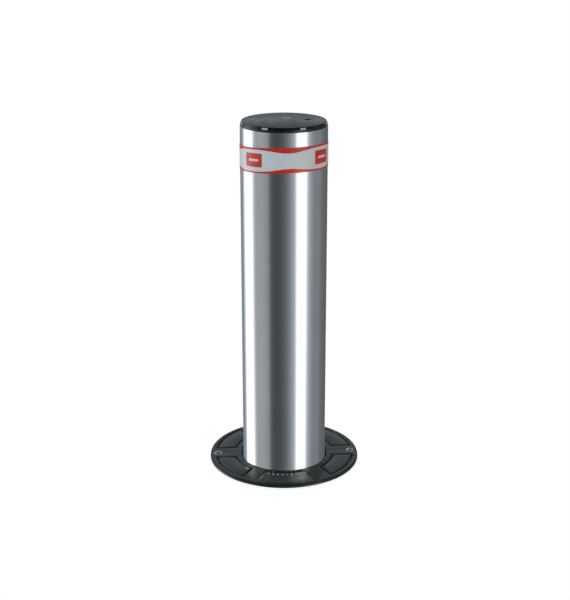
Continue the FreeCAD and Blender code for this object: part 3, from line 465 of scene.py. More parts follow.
def worked_surface(name, light, dark, metallic, roughness, bump, fine=2500.0, cloud=30.0,
                   marks=None, grime=0.0, coat=0.0, shine=0.5):
    """A plain worked finish: two close colours clouded together, a tooth and some grime.

    roughness is (smoothest, roughest), bump is (strength, distance), marks is the pitch of the
    tool marks as (along, round) scales.
    """
    material, tree, inputs, place = new_finish(name)
    grain = tree.group(GRAIN, Place=place, Fine_Scale=fine, Cloud_Scale=cloud)
    colour = tree.blend(grain["Cloud"], rgba(light), rgba(dark))
    rough = tree.spread(grain["Cloud"], 0.0, 1.0, roughness[0], roughness[1], smooth=False)
    if grime:
        mask = tree.group(GRIME, Place=place, Amount=grime, Scale=cloud * 1.7)["Mask"]
        dust = tuple(0.5 * part + 0.06 for part in rgba(dark)[:3])
        colour = tree.blend(tree.math("MULTIPLY", mask, grime), colour, rgba(dust))
        rough = tree.math("ADD", rough, tree.math("MULTIPLY", mask, 0.2 * grime), clamp=True)
    height = grain["Fine"]
    if marks:
        height = tree.group(TOOL_MARKS, Place=place, Along=marks[0], Round=marks[1])["Height"]
    tree.feed(inputs["Base Color"], colour)
    tree.feed(inputs["Roughness"], rough)
    inputs["Metallic"].default_value = metallic
    inputs["Coat Weight"].default_value = coat
    inputs["Specular IOR Level"].default_value = shine
    bumped(tree, inputs, height, bump[0], bump[1] * MM)
    return material


def polished_stainless():
    """Ground and polished tube: a close grain round the tube, clouded a little."""
    material, tree, inputs, place = new_finish("polished_stainless")
    grain = tree.group(GRAIN, Place=place, Fine_Scale=900.0, Cloud_Scale=26.0)
    marks = tree.group(TOOL_MARKS, Place=place, Along=5200.0, Round=36.0)["Height"]
    clouded = tree.math("MULTIPLY", grain["Cloud"], 0.5)
    tone = tree.math("ADD", clouded, tree.math("MULTIPLY", marks, 0.5))
    tree.feed(inputs["Base Color"], tree.blend(tone, rgba((0.75, 0.76, 0.775)), rgba((0.66, 0.67, 0.685))))
    tree.feed(inputs["Roughness"], tree.spread(tone, 0.1, 0.9, 0.085, 0.15))
    inputs["Metallic"].default_value = 1.0
    bumped(tree, inputs, marks, 0.10, 0.02 * MM)
    return material


def reflective_film():
    """White film with a fine honeycomb, waved red edges and red squares along it."""
    material, tree, inputs, place = new_finish("reflective_film")
    apart = tree.add("ShaderNodeSeparateXYZ", None, {0: place}).outputs
    # degrees round the tube from the front, positive to the right
    round_angle = tree.math("ARCTAN2", apart[0], tree.math("MULTIPLY", apart[1], -1.0))
    degrees = tree.math("MULTIPLY", round_angle, 180.0 / math.pi)
    # height above the band's middle line, which climbs with the band
    climb = tree.math("MULTIPLY", apart[0], BAND_CLIMB_X)
    climb = tree.math("ADD", climb, tree.math("MULTIPLY", apart[1], -BAND_CLIMB_FRONT))
    level = tree.math("SUBTRACT", tree.math("SUBTRACT", apart[2], BAND_MIDDLE), climb)
    turns = tree.math("DIVIDE", tree.math("SUBTRACT", degrees, SQUARE_AT), SQUARE_PITCH)
    wave = tree.math("COSINE", tree.math("MULTIPLY", turns, 2.0 * math.pi))
    swell = tree.math("POWER", tree.math("MULTIPLY_ADD", wave, -0.5, 0.5), 1.6)
    top_width = tree.math("MULTIPLY_ADD", swell, 4.6 * MM, 2.5 * MM)
    low_width = tree.math("MULTIPLY_ADD", swell, 3.7 * MM, 2.1 * MM)
    above = tree.math("GREATER_THAN", level, tree.math("SUBTRACT", BAND_HALF, top_width))
    below = tree.math("LESS_THAN", level, tree.math("SUBTRACT", low_width, BAND_HALF))
    # squares with rounded corners, from the distance to the nearest one's centre
    nearest = tree.math("SUBTRACT", turns, tree.math("ROUND", turns))
    aside = tree.math("ABSOLUTE", tree.math("MULTIPLY", nearest, SQUARE_PITCH * TUBE_R * math.pi / 180.0))
    upward = tree.math("ABSOLUTE", tree.math("SUBTRACT", level, SQUARE_LIFT))

    def rounded_box(half_w, half_h, radius):
        over_x = tree.math("MAXIMUM", tree.math("SUBTRACT", aside, half_w - radius), 0.0)
        over_z = tree.math("MAXIMUM", tree.math("SUBTRACT", upward, half_h - radius), 0.0)
        square = tree.math("ADD", tree.math("POWER", over_x, 2.0), tree.math("POWER", over_z, 2.0))
        return tree.math("LESS_THAN", tree.math("SQRT", square), radius)

    patch = rounded_box(*SQUARE_SIZE, SQUARE_CORNER)
    bar = rounded_box(*BAR_SIZE, SQUARE_CORNER)
    border = tree.math("MAXIMUM", above, below)
    red = tree.math("MAXIMUM", border, tree.math("SUBTRACT", patch, bar, clamp=True))
    cells = tree.add(
        "ShaderNodeTexVoronoi", {"feature": "DISTANCE_TO_EDGE"}, {"Vector": place, "Scale": 520.0}
    ).outputs["Distance"]
    web = tree.spread(cells, 0.0, 0.12)
    grain = tree.group(GRAIN, Place=place, Fine_Scale=1400.0, Cloud_Scale=45.0)
    white = tree.blend(grain["Cloud"], rgba((0.64, 0.65, 0.65)), rgba((0.58, 0.59, 0.59)))
    white = tree.blend(web, rgba((0.54, 0.55, 0.56)), white)
    paint = tree.blend(grain["Cloud"], rgba((0.62, 0.028, 0.010)), rgba((0.50, 0.018, 0.008)))
    tree.feed(inputs["Base Color"], tree.blend(red, white, paint))
    tree.feed(inputs["Roughness"], tree.spread(grain["Cloud"], 0.0, 1.0, 0.28, 0.4))
    inputs["Coat Weight"].default_value = 0.1
    inputs["Coat Roughness"].default_value = 0.2
    bumped(tree, inputs, web, 0.15, 0.05 * MM)
    return material


def galvanised():
    """Hot-dip zinc: large flat crystals of different greys, dulled in places."""
    material, tree, inputs, place = new_finish("galvanised")
    crystal = tree.add("ShaderNodeTexVoronoi", None, {"Vector": place, "Scale": 95.0}).outputs["Color"]
    shade = tree.add("ShaderNodeSeparateColor", None, {0: crystal}).outputs[0]
    grain = tree.group(GRAIN, Place=place, Fine_Scale=1500.0, Cloud_Scale=14.0)
    colour = tree.blend(shade, rgba((0.50, 0.52, 0.54)), rgba((0.66, 0.68, 0.69)))
    colour = tree.blend(tree.math("MULTIPLY", grain["Cloud"], 0.45), colour, rgba((0.43, 0.45, 0.46)))
    tree.feed(inputs["Base Color"], colour)
    rough = tree.math("MULTIPLY_ADD", shade, 0.16, 0.34)
    tree.feed(inputs["Roughness"], tree.math("ADD", rough, tree.math("MULTIPLY", grain["Cloud"], 0.14)))
    inputs["Metallic"].default_value = 0.85
    bumped(tree, inputs, grain["Fine"], 0.25, 0.08 * MM)
    return material


def cover_paint():
    """Cast cover under black gloss paint: the casting's tooth shows through."""
    material, tree, inputs, place = new_finish("cover_paint")
    grain = tree.group(GRAIN, Place=place, Fine_Scale=650.0, Cloud_Scale=55.0)
    dust = tree.group(GRIME, Place=place, Amount=0.35, Scale=90.0)["Mask"]
    height = tree.add("ShaderNodeSeparateXYZ", None, {0: place}).outputs[2]
    # Painted shade: from 0.5 to 1 mm under the cover's top, in the grooves round the pads, the pocket
    # sides and the screw wells, the paint turns near black and rougher.
    deep = tree.spread(height, COVER_TOP - 0.5 * MM, COVER_TOP - 1.0 * MM)
    painted_recess_shade = tree.math("MULTIPLY", deep, tree.math("GREATER_THAN", height, 2.9 * MM))
    colour = tree.blend(grain["Cloud"], rgba((0.014, 0.019, 0.015)), rgba((0.021, 0.027, 0.022)))
    colour = tree.blend(tree.math("MULTIPLY", dust, 0.2), colour, rgba((0.04, 0.045, 0.042)))
    colour = tree.blend(painted_recess_shade, colour, rgba((0.002, 0.002, 0.002)))
    tree.feed(inputs["Base Color"], colour)
    rough = tree.spread(grain["Cloud"], 0.0, 1.0, 0.2, 0.3)
    rough = tree.math("ADD", rough, tree.math("MULTIPLY", dust, 0.18))
    rough = tree.math("ADD", rough, tree.math("MULTIPLY", painted_recess_shade, 0.5), clamp=True)
    tree.feed(inputs["Roughness"], rough)
    bumped(tree, inputs, grain["Fine"], 0.12, 0.08 * MM)
    return material


def cap_plastic():
    """Moulded black cap, satin on top with a fine even tooth and faint scuffs."""
    material, tree, inputs, place = new_finish("cap_plastic")
    grain = tree.group(GRAIN, Place=place, Fine_Scale=1900.0, Cloud_Scale=85.0)
    scuff = tree.group(GRIME, Place=place, Amount=0.5, Scale=150.0)["Mask"]
    colour = tree.blend(grain["Cloud"], rgba((0.003, 0.004, 0.004)), rgba((0.006, 0.007, 0.007)))
    colour = tree.blend(tree.math("MULTIPLY", scuff, 0.3), colour, rgba((0.03, 0.033, 0.035)))
    tree.feed(inputs["Base Color"], colour)
    tree.feed(inputs["Roughness"], tree.spread(grain["Cloud"], 0.0, 1.0, 0.24, 0.34))
    bumped(tree, inputs, grain["Fine"], 0.12, 0.05 * MM)
    return material


def frosted_window():
    material, tree, inputs, place = new_finish("frosted_window")
    grain = tree.group(GRAIN, Place=place, Fine_Scale=2600.0, Cloud_Scale=200.0)
    colour = tree.blend(grain["Cloud"], rgba((0.62, 0.65, 0.67)), rgba((0.52, 0.55, 0.57)))
    tree.feed(inputs["Base Color"], colour)
    tree.feed(inputs["Roughness"], tree.spread(grain["Cloud"], 0.0, 1.0, 0.3, 0.42))
    inputs["Transmission Weight"].default_value = 0.2
    bumped(tree, inputs, grain["Fine"], 0.15, 0.03 * MM)
    return material


def copper_winding():
    """Enamelled wire: fine turns one above the other."""
    material, tree, inputs, place = new_finish("copper_winding")
    turns = tree.add(
        "ShaderNodeTexWave", {"wave_type": "BANDS", "bands_direction": "Z"},
        {"Vector": place, "Scale": 260.0, "Distortion": 0.6, "Detail": 1.0},
    ).outputs["Fac"]
    tree.feed(inputs["Base Color"], tree.blend(turns, rgba((0.32, 0.09, 0.04)), rgba((0.78, 0.30, 0.13))))
    tree.feed(inputs["Roughness"], tree.spread(turns, 0.0, 1.0, 0.42, 0.22))
    inputs["Metallic"].default_value = 0.8
    bumped(tree, inputs, turns, 0.6, 0.4 * MM)
    return material


def laminated_core():
    """Thin pressed sheets of core steel, one on the other."""
    material, tree, inputs, place = new_finish("laminated_core")
    sheets = tree.add(
        "ShaderNodeTexWave", {"wave_type": "BANDS", "bands_direction": "Z", "wave_profile": "SAW"},
        {"Vector": place, "Scale": 320.0},
    ).outputs["Fac"]
    tree.feed(inputs["Base Color"], tree.blend(sheets, rgba((0.20, 0.21, 0.23)), rgba((0.36, 0.37, 0.39))))
    tree.feed(inputs["Roughness"], tree.spread(sheets, 0.0, 1.0, 0.5, 0.36))
    inputs["Metallic"].default_value = 0.9
    bumped(tree, inputs, sheets, 0.4, 0.2 * MM)
    return material


BAND_MIDDLE = 433.3 * MM
BAND_HALF = 16.4 * MM
BAND_CLIMB_X = 0.035  # rise per metre to the right
BAND_CLIMB_FRONT = 0.053  # rise per metre to the front
SQUARE_AT = -42.5
SQUARE_PITCH = 99.5
SQUARE_LIFT = 0.3 * MM
SQUARE_SIZE = (13.8 * MM, 8.9 * MM)  # half its width and height
BAR_SIZE = (8.2 * MM, 1.5 * MM)  # the same for the pale bar in it
SQUARE_CORNER = 1.4 * MM

FINISHES = {
    "stainless_tube": polished_stainless(),
    "cap_black": cap_plastic(),
    "window_clear": frosted_window(),
    "band": reflective_film(),
    "cover_black": cover_paint(),
    "galvanised": galvanised(),
    "coil_copper": copper_winding(),
    "core_steel": laminated_core(),
    "plate_paint": worked_surface(
        "plate_paint", (0.050, 0.060, 0.046), (0.068, 0.080, 0.063), 0.0, (0.3, 0.42),
        (0.35, 0.14), fine=420.0, cloud=210.0, grime=0.3),
    "zinc_screw": worked_surface(
        "bright_zinc", (0.52, 0.53, 0.52), (0.40, 0.40, 0.38), 1.0, (0.2, 0.34), (0.12, 0.03),
        marks=(2600.0, 2600.0), grime=0.25, cloud=240.0),
    # The rubber's own black, darkened further as painted shade for the gap round the tube and for the fill
    # in the screw sockets.
    "black_rubber": worked_surface(
        "black_rubber", (0.005, 0.005, 0.005), (0.009, 0.009, 0.009), 0.0, (0.62, 0.78),
        (0.35, 0.08), fine=1600.0, cloud=60.0, grime=0.1, shine=0.15),
    "natural_nylon": worked_surface(
        "natural_nylon", (0.80, 0.78, 0.70), (0.72, 0.69, 0.60), 0.0, (0.38, 0.5),
        (0.2, 0.06), marks=(3500.0, 90.0), cloud=35.0, grime=0.2),
    "cast_aluminium": worked_surface(
        "cast_aluminium", (0.66, 0.67, 0.68), (0.52, 0.53, 0.55), 0.9, (0.38, 0.55),
        (0.35, 0.12), fine=1100.0, cloud=40.0, grime=0.25),
    "bronze": worked_surface(
        "bronze", (0.72, 0.45, 0.20), (0.55, 0.32, 0.13), 1.0, (0.24, 0.38), (0.2, 0.05),
        marks=(4200.0, 120.0), cloud=70.0, grime=0.2),
    "steel_machined": worked_surface(
        "machined_steel", (0.62, 0.62, 0.63), (0.50, 0.50, 0.52), 1.0, (0.2, 0.34), (0.22, 0.05),
        marks=(5200.0, 80.0), cloud=60.0, grime=0.15),
    "board_green": worked_surface(
        "circuit_board", (0.02, 0.16, 0.07), (0.015, 0.11, 0.05), 0.0, (0.28, 0.4), (0.15, 0.03),
        cloud=160.0, coat=0.3),
    "lock_brass": worked_surface(
        "lock_brass", (0.80, 0.62, 0.30), (0.62, 0.46, 0.20), 1.0, (0.22, 0.36), (0.15, 0.03),
        marks=(2400.0, 900.0), cloud=200.0, grime=0.3),
    "black_plastic": worked_surface(
        "black_plastic", (0.022, 0.022, 0.024), (0.034, 0.034, 0.036), 0.0, (0.36, 0.5),
        (0.2, 0.05), fine=2100.0, cloud=110.0),
    "magnet_dark": worked_surface(
        "nickelled_magnet", (0.36, 0.36, 0.37), (0.26, 0.26, 0.28), 1.0, (0.22, 0.34),
        (0.1, 0.03), cloud=90.0),
    "spider_red": worked_surface(
        "red_polyurethane", (0.52, 0.03, 0.02), (0.42, 0.02, 0.015), 0.0, (0.34, 0.46),
        (0.15, 0.04), cloud=90.0, coat=0.15),
    "painted_case": worked_surface(
        "powder_coat", (0.035, 0.040, 0.048), (0.026, 0.030, 0.036), 0.0, (0.4, 0.52),
        (0.4, 0.1), fine=900.0, cloud=60.0, grime=0.2),
}


def unmirrored(*pieces):
    """These pieces are left out of mirror reflections, so the tube mirrors the studio only."""
    for piece in pieces:
        piece.visible_glossy = False


def dress_cad_nodes():
    """The carried-over CAD nodes take their slot's finish."""
    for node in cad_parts.values():
        for held in node.material_slots:
            held.material = FINISHES[held.material.name.split(".")[0]]


dress_cad_nodes()


# ---- camera, light and ground ----
CAMERA_PLACE = (0.0014, -1.579, 0.768)
CAMERA_TILT = 18.77  # degrees down
CAMERA_LENS = 73.5


def make_camera():
    clear_selection()
    bpy.ops.object.camera_add(
        location=CAMERA_PLACE, rotation=(math.radians(90.0 - CAMERA_TILT), 0.0, 0.0)
    )
    camera = bpy.context.object
    camera.data.lens = CAMERA_LENS
    bpy.context.scene.camera = camera


# What the tube mirrors, by degrees away from the front, on its left and on its right.
WHITE = (1.75, 1.75, 1.75)
STUDIO_LEFT = (
    (0.0, (0.120, 0.136, 0.142)), (10.0, (0.083, 0.096, 0.099)), (20.0, (0.075, 0.086, 0.090)),
    (29.0, (0.095, 0.101, 0.108)), (34.5, (0.125, 0.130, 0.135)), (38.0, (0.21, 0.215, 0.22)),
    (42.0, (0.33, 0.34, 0.35)), (49.5, (0.375, 0.387, 0.385)), (58.0, (0.425, 0.435, 0.445)),
    (69.0, (0.43, 0.455, 0.48)), (75.0, (0.41, 0.44, 0.46)), (81.5, (0.48, 0.50, 0.53)),
    (86.0, (0.74, 0.76, 0.80)), (90.0, (1.25, 1.25, 1.25)), (94.0, WHITE), (121.0, WHITE),
    (125.0, (1.2, 1.2, 1.22)), (131.0, (0.62, 0.65, 0.70)), (138.0, (0.30, 0.34, 0.40)),
    (180.0, (0.16, 0.18, 0.21)),
)
STUDIO_RIGHT = (
    (0.0, (0.120, 0.136, 0.142)), (7.5, (0.17, 0.187, 0.20)), (16.0, (0.28, 0.30, 0.34)),
    (24.0, (0.42, 0.44, 0.49)), (29.0, (0.58, 0.60, 0.62)), (32.5, (1.1, 1.1, 1.08)),
    (36.5, WHITE), (57.5, WHITE), (61.5, (1.1, 1.12, 1.12)), (66.0, (0.60, 0.62, 0.65)),
    (72.0, (0.42, 0.445, 0.48)), (81.0, (0.29, 0.32, 0.35)), (90.0, (0.245, 0.27, 0.29)),
    (104.0, (0.255, 0.275, 0.29)), (120.0, (0.175, 0.19, 0.20)), (150.0, (0.125, 0.135, 0.14)),
    (180.0, (0.16, 0.18, 0.21)),
)
# What flat tops mirror, by height above the horizon in degrees: behind, and in front.
STUDIO_BACK = (
    (0.0, (0.40, 0.42, 0.44)), (10.0, (0.46, 0.50, 0.54)), (17.0, (0.46, 0.51, 0.56)),
    (24.0, (0.37, 0.41, 0.47)), (34.0, (0.38, 0.42, 0.49)), (60.0, (0.55, 0.57, 0.60)),
    (90.0, (0.8, 0.8, 0.8)),
)
STUDIO_FRONT = (
    (0.0, (0.06, 0.06, 0.06)), (25.0, (0.015, 0.016, 0.015)), (76.0, (0.015, 0.016, 0.015)),
    (86.0, (0.6, 0.6, 0.6)), (90.0, (0.8, 0.8, 0.8)),
)
# The strips end between these heights: high at the sides, low behind.
STRIP_ENDS = (math.sin(math.radians(22.0)), math.sin(math.radians(38.0)))
STRIP_ENDS_BEHIND = (math.sin(math.radians(2.0)), math.sin(math.radians(6.0)))


def make_studio():
    """A studio by direction only: upright soft strips that the tube mirrors, a pale back
    wall that flat tops mirror, and plain white where the camera looks past the object."""
    world = bpy.data.worlds.new("studio")
    bpy.context.scene.world = world
    world.use_nodes = True
    world.node_tree.nodes.clear()
    tree = Tree(world.node_tree)
    direction = tree.add("ShaderNodeTexCoord").outputs["Generated"]
    apart = tree.add("ShaderNodeSeparateXYZ", None, {0: direction}).outputs
    aside = tree.math("ARCTAN2", apart[0], tree.math("MULTIPLY", apart[1], -1.0))
    half_turns = tree.math("DIVIDE", tree.math("ABSOLUTE", aside), math.pi)
    left = tree.ramp(half_turns, [(angle / 180.0, colour) for angle, colour in STUDIO_LEFT])
    right = tree.ramp(half_turns, [(angle / 180.0, colour) for angle, colour in STUDIO_RIGHT])
    sides = tree.blend(tree.math("GREATER_THAN", aside, 0.0), left, right)
    up = tree.math("DIVIDE", tree.math("ARCSINE", apart[2]), math.pi / 2, clamp=True)
    back = tree.ramp(up, [(e / 90.0, c) for e, c in STUDIO_BACK])
    front = tree.ramp(up, [(e / 90.0, c) for e, c in STUDIO_FRONT])
    behind = tree.spread(apart[1], -0.25, 0.35)
    above = tree.blend(behind, front, back)
    right_behind = tree.spread(half_turns, 0.76, 0.86)
    ends = []
    for at_side, at_back in zip(STRIP_ENDS, STRIP_ENDS_BEHIND):
        ends.append(tree.spread(right_behind, 0.0, 1.0, at_side, at_back, smooth=False))
    rising = tree.spread(apart[2], ends[0], ends[1])
    mirrored = tree.add(
        "ShaderNodeBackground", None, {"Color": tree.blend(rising, sides, above), "Strength": 1.0}
    ).outputs[0]
    plain = tree.add("ShaderNodeBackground", None, {"Color": rgba(1.0), "Strength": 1.0}).outputs[0]
    seen = tree.add("ShaderNodeLightPath").outputs["Is Camera Ray"]
    mixed = tree.add("ShaderNodeMixShader", None, {0: seen, 1: mirrored, 2: plain}).outputs[0]
    leave = tree.add("ShaderNodeOutputWorld")
    tree.feed(leave.inputs["Surface"], mixed)


def soft_light(name, place, aim, size, power, colour):
    clear_selection()
    bpy.ops.object.light_add(type="AREA", location=place)
    lamp = bpy.context.object
    lamp.name = name
    lamp.data.size = size
    lamp.data.energy = power
    lamp.data.color = colour
    lamp.rotation_mode = "QUATERNION"
    lamp.rotation_quaternion = (Vector(aim) - Vector(place)).to_track_quat("-Z", "Y")
    lamp.visible_glossy = False


GROUND_R = 0.135
GROUND_AHEAD = 0.33  # further out at the front, where it fills the view's lower edge
GROUND_GLOW = 0.62


def make_ground():
    """A pale floor close round the cover, open where the casing goes down, seen from above."""
    clear_selection()
    bpy.ops.mesh.primitive_circle_add(vertices=96, radius=FLANGE_R)
    ground = named("pale_floor")
    bpy.ops.object.mode_set(mode="EDIT")
    bpy.ops.mesh.select_all(action="SELECT")
    bpy.ops.mesh.extrude_edges_move()
    ratio = GROUND_R / FLANGE_R
    bpy.ops.transform.resize(value=(ratio, ratio, 1.0), center_override=(0.0, 0.0, 0.0))
    edit = bmesh.from_edit_mesh(ground.data)
    for vert in edit.verts:
        vert.select = vert.co.y < -0.001 and vert.co.xy.length > FLANGE_R + MM
    edit.select_flush(False)
    bmesh.update_edit_mesh(ground.data)
    bpy.ops.transform.translate(value=(0.0, -GROUND_AHEAD, 0.0))
    if edit.faces[:][0].normal.z < 0.0:
        bpy.ops.mesh.select_all(action="SELECT")
        bpy.ops.mesh.flip_normals()
    bpy.ops.object.mode_set(mode="OBJECT")
    material, tree, inputs, place = new_finish("pale_floor")
    grain = tree.group(GRAIN, Place=place, Fine_Scale=220.0, Cloud_Scale=9.0)
    pale = tree.blend(grain["Cloud"], rgba((0.80, 0.80, 0.80)), rgba((0.76, 0.76, 0.76)))
    tree.feed(inputs["Base Color"], pale)
    inputs["Roughness"].default_value = 0.9
    inputs["Specular IOR Level"].default_value = 0.0
    inputs["Emission Color"].default_value = rgba(1.0)
    inputs["Emission Strength"].default_value = GROUND_GLOW
    under = tree.add("ShaderNodeNewGeometry").outputs["Backfacing"]
    surface = material.node_tree.nodes["Principled BSDF"].outputs[0]
    see_through = tree.add("ShaderNodeBsdfTransparent").outputs[0]
    mixed = tree.add("ShaderNodeMixShader", None, {0: under, 1: surface, 2: see_through}).outputs[0]
    leave = material.node_tree.nodes["Material Output"]
    tree.feed(leave.inputs["Surface"], mixed)
    ground.data.materials.append(material)
    ground.visible_glossy = False


make_camera()
make_studio()
soft_light("left_softbox", (-1.5, -1.3, 0.9), (0.0, 0.0, 0.3), 1.2, 22.0, (0.64, 0.83, 1.0))
soft_light("right_softbox", (1.6, -0.9, 0.9), (0.0, 0.0, 0.3), 1.2, 4.0, (1.0, 0.88, 0.60))
soft_light("back_softbox", (0.3, 1.8, 1.4), (0.0, 0.0, 0.2), 1.4, 16.0, (1.0, 1.0, 1.0))
make_ground()
bpy.context.scene.view_settings.view_transform = "Standard"


# ---- moving tube and head ----
SKIRT_HOLE_R = 3.1 * MM


def make_tube():
    ease = 0.5 * MM
    holes_above = TUBE_LOW + 40.0 * MM
    outline = (
        corner(TUBE_R - ease, TUBE_LOW + ease, ease, -90.0, 2)
        + [(TUBE_R, holes_above)]
        + corner(TUBE_R - ease, TUBE_TOP - ease, ease, 0.0, 3)
        + [(TUBE_BORE_R, TUBE_TOP), (TUBE_BORE_R, holes_above), (TUBE_BORE_R, TUBE_LOW)]
    )
    tube = lathe("tube_shell", outline, steps=256)
    ring_low, ring_high = levels("lower_guide_ring")
    screw_z = (ring_low + ring_high) / 2
    drill = lie_along_x(
        rod("drill", SKIRT_HOLE_R, TUBE_BORE_R - 2 * MM, TUBE_R + 2 * MM), 0.0)
    drill.location.z = screw_z
    settle(drill)
    cut_away(tube, all_round(drill, evenly(4, 45.0)))
    ride_as(tube, "bollard", "stainless_tube", "bollard_tube")


make_tube()


CAP_LIP_TOP = TUBE_TOP + 2.75 * MM
CAP_CHAMFER = 1.8 * MM
CAP_PLATE_UNDER = CAP_TOP - 8.0 * MM
SPIGOT_R = TUBE_BORE_R - 0.2 * MM
SPIGOT_BORE_R = SPIGOT_R - 4.0 * MM
GROOVE_R = TUBE_BORE_R - 3.1 * MM
GROOVE_HALF = 1.6 * MM
WINDOW_COUNT = 7
WINDOW_FIRST = FRONT + 180.0 / WINDOW_COUNT
LOCK_X, LOCK_Y = 31.0 * MM, 2.0 * MM
LOCK_TOP = CAP_TOP - 4.0 * MM
LOCK_BORE_R = 9.1 * MM
KEY_HOLE_R = 4.0 * MM
WINDOW_SLOT_W = 8.2 * MM
LIGHT_PLACE_R = 46.5 * MM
CAP_SCREW_HOLE_R = 2.6 * MM
CAP_SCREW_SINK_R = 5.1 * MM
CAP_SCREW_AT = ((-31.0 * MM, 2.0 * MM), (4.0 * MM, 19.0 * MM))


def make_cap():
    groove_mid = (CAP_UNDER + CAP_PLATE_UNDER) / 2
    slope_r = CAP_R - CAP_CHAMFER
    outline = (
        [(SPIGOT_BORE_R, CAP_PLATE_UNDER), (SPIGOT_BORE_R, CAP_UNDER + 0.6 * MM)]
        + [(SPIGOT_BORE_R + 0.6 * MM, CAP_UNDER), (SPIGOT_R - 0.8 * MM, CAP_UNDER)]
        + [(SPIGOT_R, CAP_UNDER + 0.8 * MM), (SPIGOT_R, groove_mid - GROOVE_HALF)]
        + [(GROOVE_R, groove_mid - GROOVE_HALF), (GROOVE_R, groove_mid + GROOVE_HALF)]
        + [(SPIGOT_R, groove_mid + GROOVE_HALF), (SPIGOT_R, TUBE_TOP)]
        + corner(CAP_R - 0.35 * MM, TUBE_TOP + 0.35 * MM, 0.35 * MM, -90.0, 2)
        + [(CAP_R, CAP_LIP_TOP - 0.35 * MM), (CAP_R - 0.08 * MM, CAP_LIP_TOP)]
        + [(CAP_R - 0.24 * MM, CAP_LIP_TOP + 0.25 * MM)]
        + [(slope_r + 0.3 * MM, CAP_TOP - 0.55 * MM), (slope_r, CAP_TOP - 0.16 * MM)]
        + [(slope_r - 0.4 * MM, CAP_TOP)]
    )
    cap = lathe("head_cap_moulding", outline, ring=False)
    slot_low, slot_top = CAP_TOP - 3.4 * MM, CAP_TOP - 1.0 * MM
    slot = block(
        "slot", (16.0 * MM, WINDOW_SLOT_W, slot_top - slot_low),
        (53.0 * MM, 0.0, (slot_low + slot_top) / 2))
    cut_away(cap, all_round(slot, evenly(WINDOW_COUNT, WINDOW_FIRST)))
    light = block(
        "light_pocket", (6.0 * MM, 6.0 * MM, 5.7 * MM),
        (LIGHT_PLACE_R, 0.0, slot_low + 0.1 * MM - 2.85 * MM))
    holes = all_round(light, evenly(WINDOW_COUNT, WINDOW_FIRST))
    holes.append(rod("lock_bore", LOCK_BORE_R, CAP_UNDER, LOCK_TOP, LOCK_X, LOCK_Y, 64))
    cut_away(cap, holes)
    key_hole = lathe(
        "key_hole",
        [(KEY_HOLE_R, LOCK_TOP - MM), (KEY_HOLE_R, CAP_TOP - 0.3 * MM)]
        + [(4.6 * MM, CAP_TOP + 0.3 * MM)],
        64, LOCK_X, LOCK_Y, ring=False)
    sinks = [key_hole]
    for x, y in CAP_SCREW_AT:
        seat = CAP_TOP - 0.4 * MM
        sinks.append(lathe(
            "screw_sink",
            [(CAP_SCREW_HOLE_R, CAP_UNDER), (CAP_SCREW_HOLE_R, seat - 2.5 * MM), (CAP_SCREW_SINK_R, seat)]
            + [(CAP_SCREW_SINK_R, CAP_TOP - 0.1 * MM), (5.4 * MM, CAP_TOP + 0.2 * MM)],
            64, x, y, ring=False))
    for sink in sinks:
        cut_away(cap, [sink])
    ride_as(cap, "bollard", "cap_black", "head_cap")


def make_film():
    """The film is wound on a little askew, so its edges climb to the right and the front."""
    half = BAND_HALF
    outer = TUBE_R + 0.5 * MM
    inner = TUBE_R + 0.025 * MM
    ease = 0.12 * MM
    film = lathe(
        "film_wrap",
        [(inner, BAND_MIDDLE - half), (outer - ease, BAND_MIDDLE - half)]
        + [(outer, BAND_MIDDLE - half + ease), (outer, BAND_MIDDLE + half - ease)]
        + [(outer - ease, BAND_MIDDLE + half), (inner, BAND_MIDDLE + half)], steps=256)
    climb = Matrix.Identity(4)
    climb[2][0] = BAND_CLIMB_X
    climb[2][1] = -BAND_CLIMB_FRONT
    film.data.transform(climb)
    ride_as(film, "bollard", "band", "reflective_band")


COVER_HOLE_R = TUBE_R + 3.2 * MM
POCKET_IN_R = COVER_HOLE_R + 7.0 * MM
POCKET_OUT_R = COVER_R - 6.0 * MM
POCKET_FLOOR = COVER_TOP - 2.0 * MM
SPOKE_W = 25.0 * MM
SECTORS = 6
GROOVE_W = 3.9 * MM  # round each pocket's raised floor
PAD_TOP = COVER_TOP - 0.15 * MM
PLATE_UP = 0.2 * MM
PLATE_JOINT = 1.6 * MM
PLATE_IN_R = 70.5 * MM
PLATE_OUT_R = 97.5 * MM
PLATE_ENDS = ((-21.5, -1.0), (24.5, 1.0))  # degrees from the front, and the side cut away
STUD_R = 1.3 * MM
STUD_PLACE_R = 74.6 * MM
STUD_COUNT = 9
STUD_FIRST = FRONT - 16.0
STUD_PITCH = 4.85
WELL_HOLE_R = 3.1 * MM
WELL_HEAD_R = 5.9 * MM
COVER_SCREW_R = 3.0 * MM
COVER_SCREW_HEAD_R = 5.65 * MM
SOCKET_R = 3.75 * MM
SOCKET_SPAN = 4.6 * MM  # half of it is above the cover's top


def sector_blocks(name, inset, low, high, round_r):
    """Five blocks in the shape of the cover's pockets, moved in by inset, corners rounded."""
    blocks = lathe(
        name,
        [(POCKET_IN_R + inset, low), (POCKET_OUT_R - inset, low)]
        + [(POCKET_OUT_R - inset, high), (POCKET_IN_R + inset, high)], steps=120)
    spoke = block("spoke", (0.3, SPOKE_W + 2 * inset, 20 * MM), (0.15, 0.0, COVER_TOP))
    cut_away(blocks, all_round(spoke, evenly(SECTORS, COVER_TURN)))
    front = block(
        "front_blank", (0.15, 0.09, 20 * MM), (0.12, 0.0, COVER_TOP), FRONT + COVER_TURN)
    cut_away(blocks, [front])
    bevel_edges(blocks, lambda a, b: abs(a.z - b.z) > 0.5 * MM, round_r, 4)
    return blocks


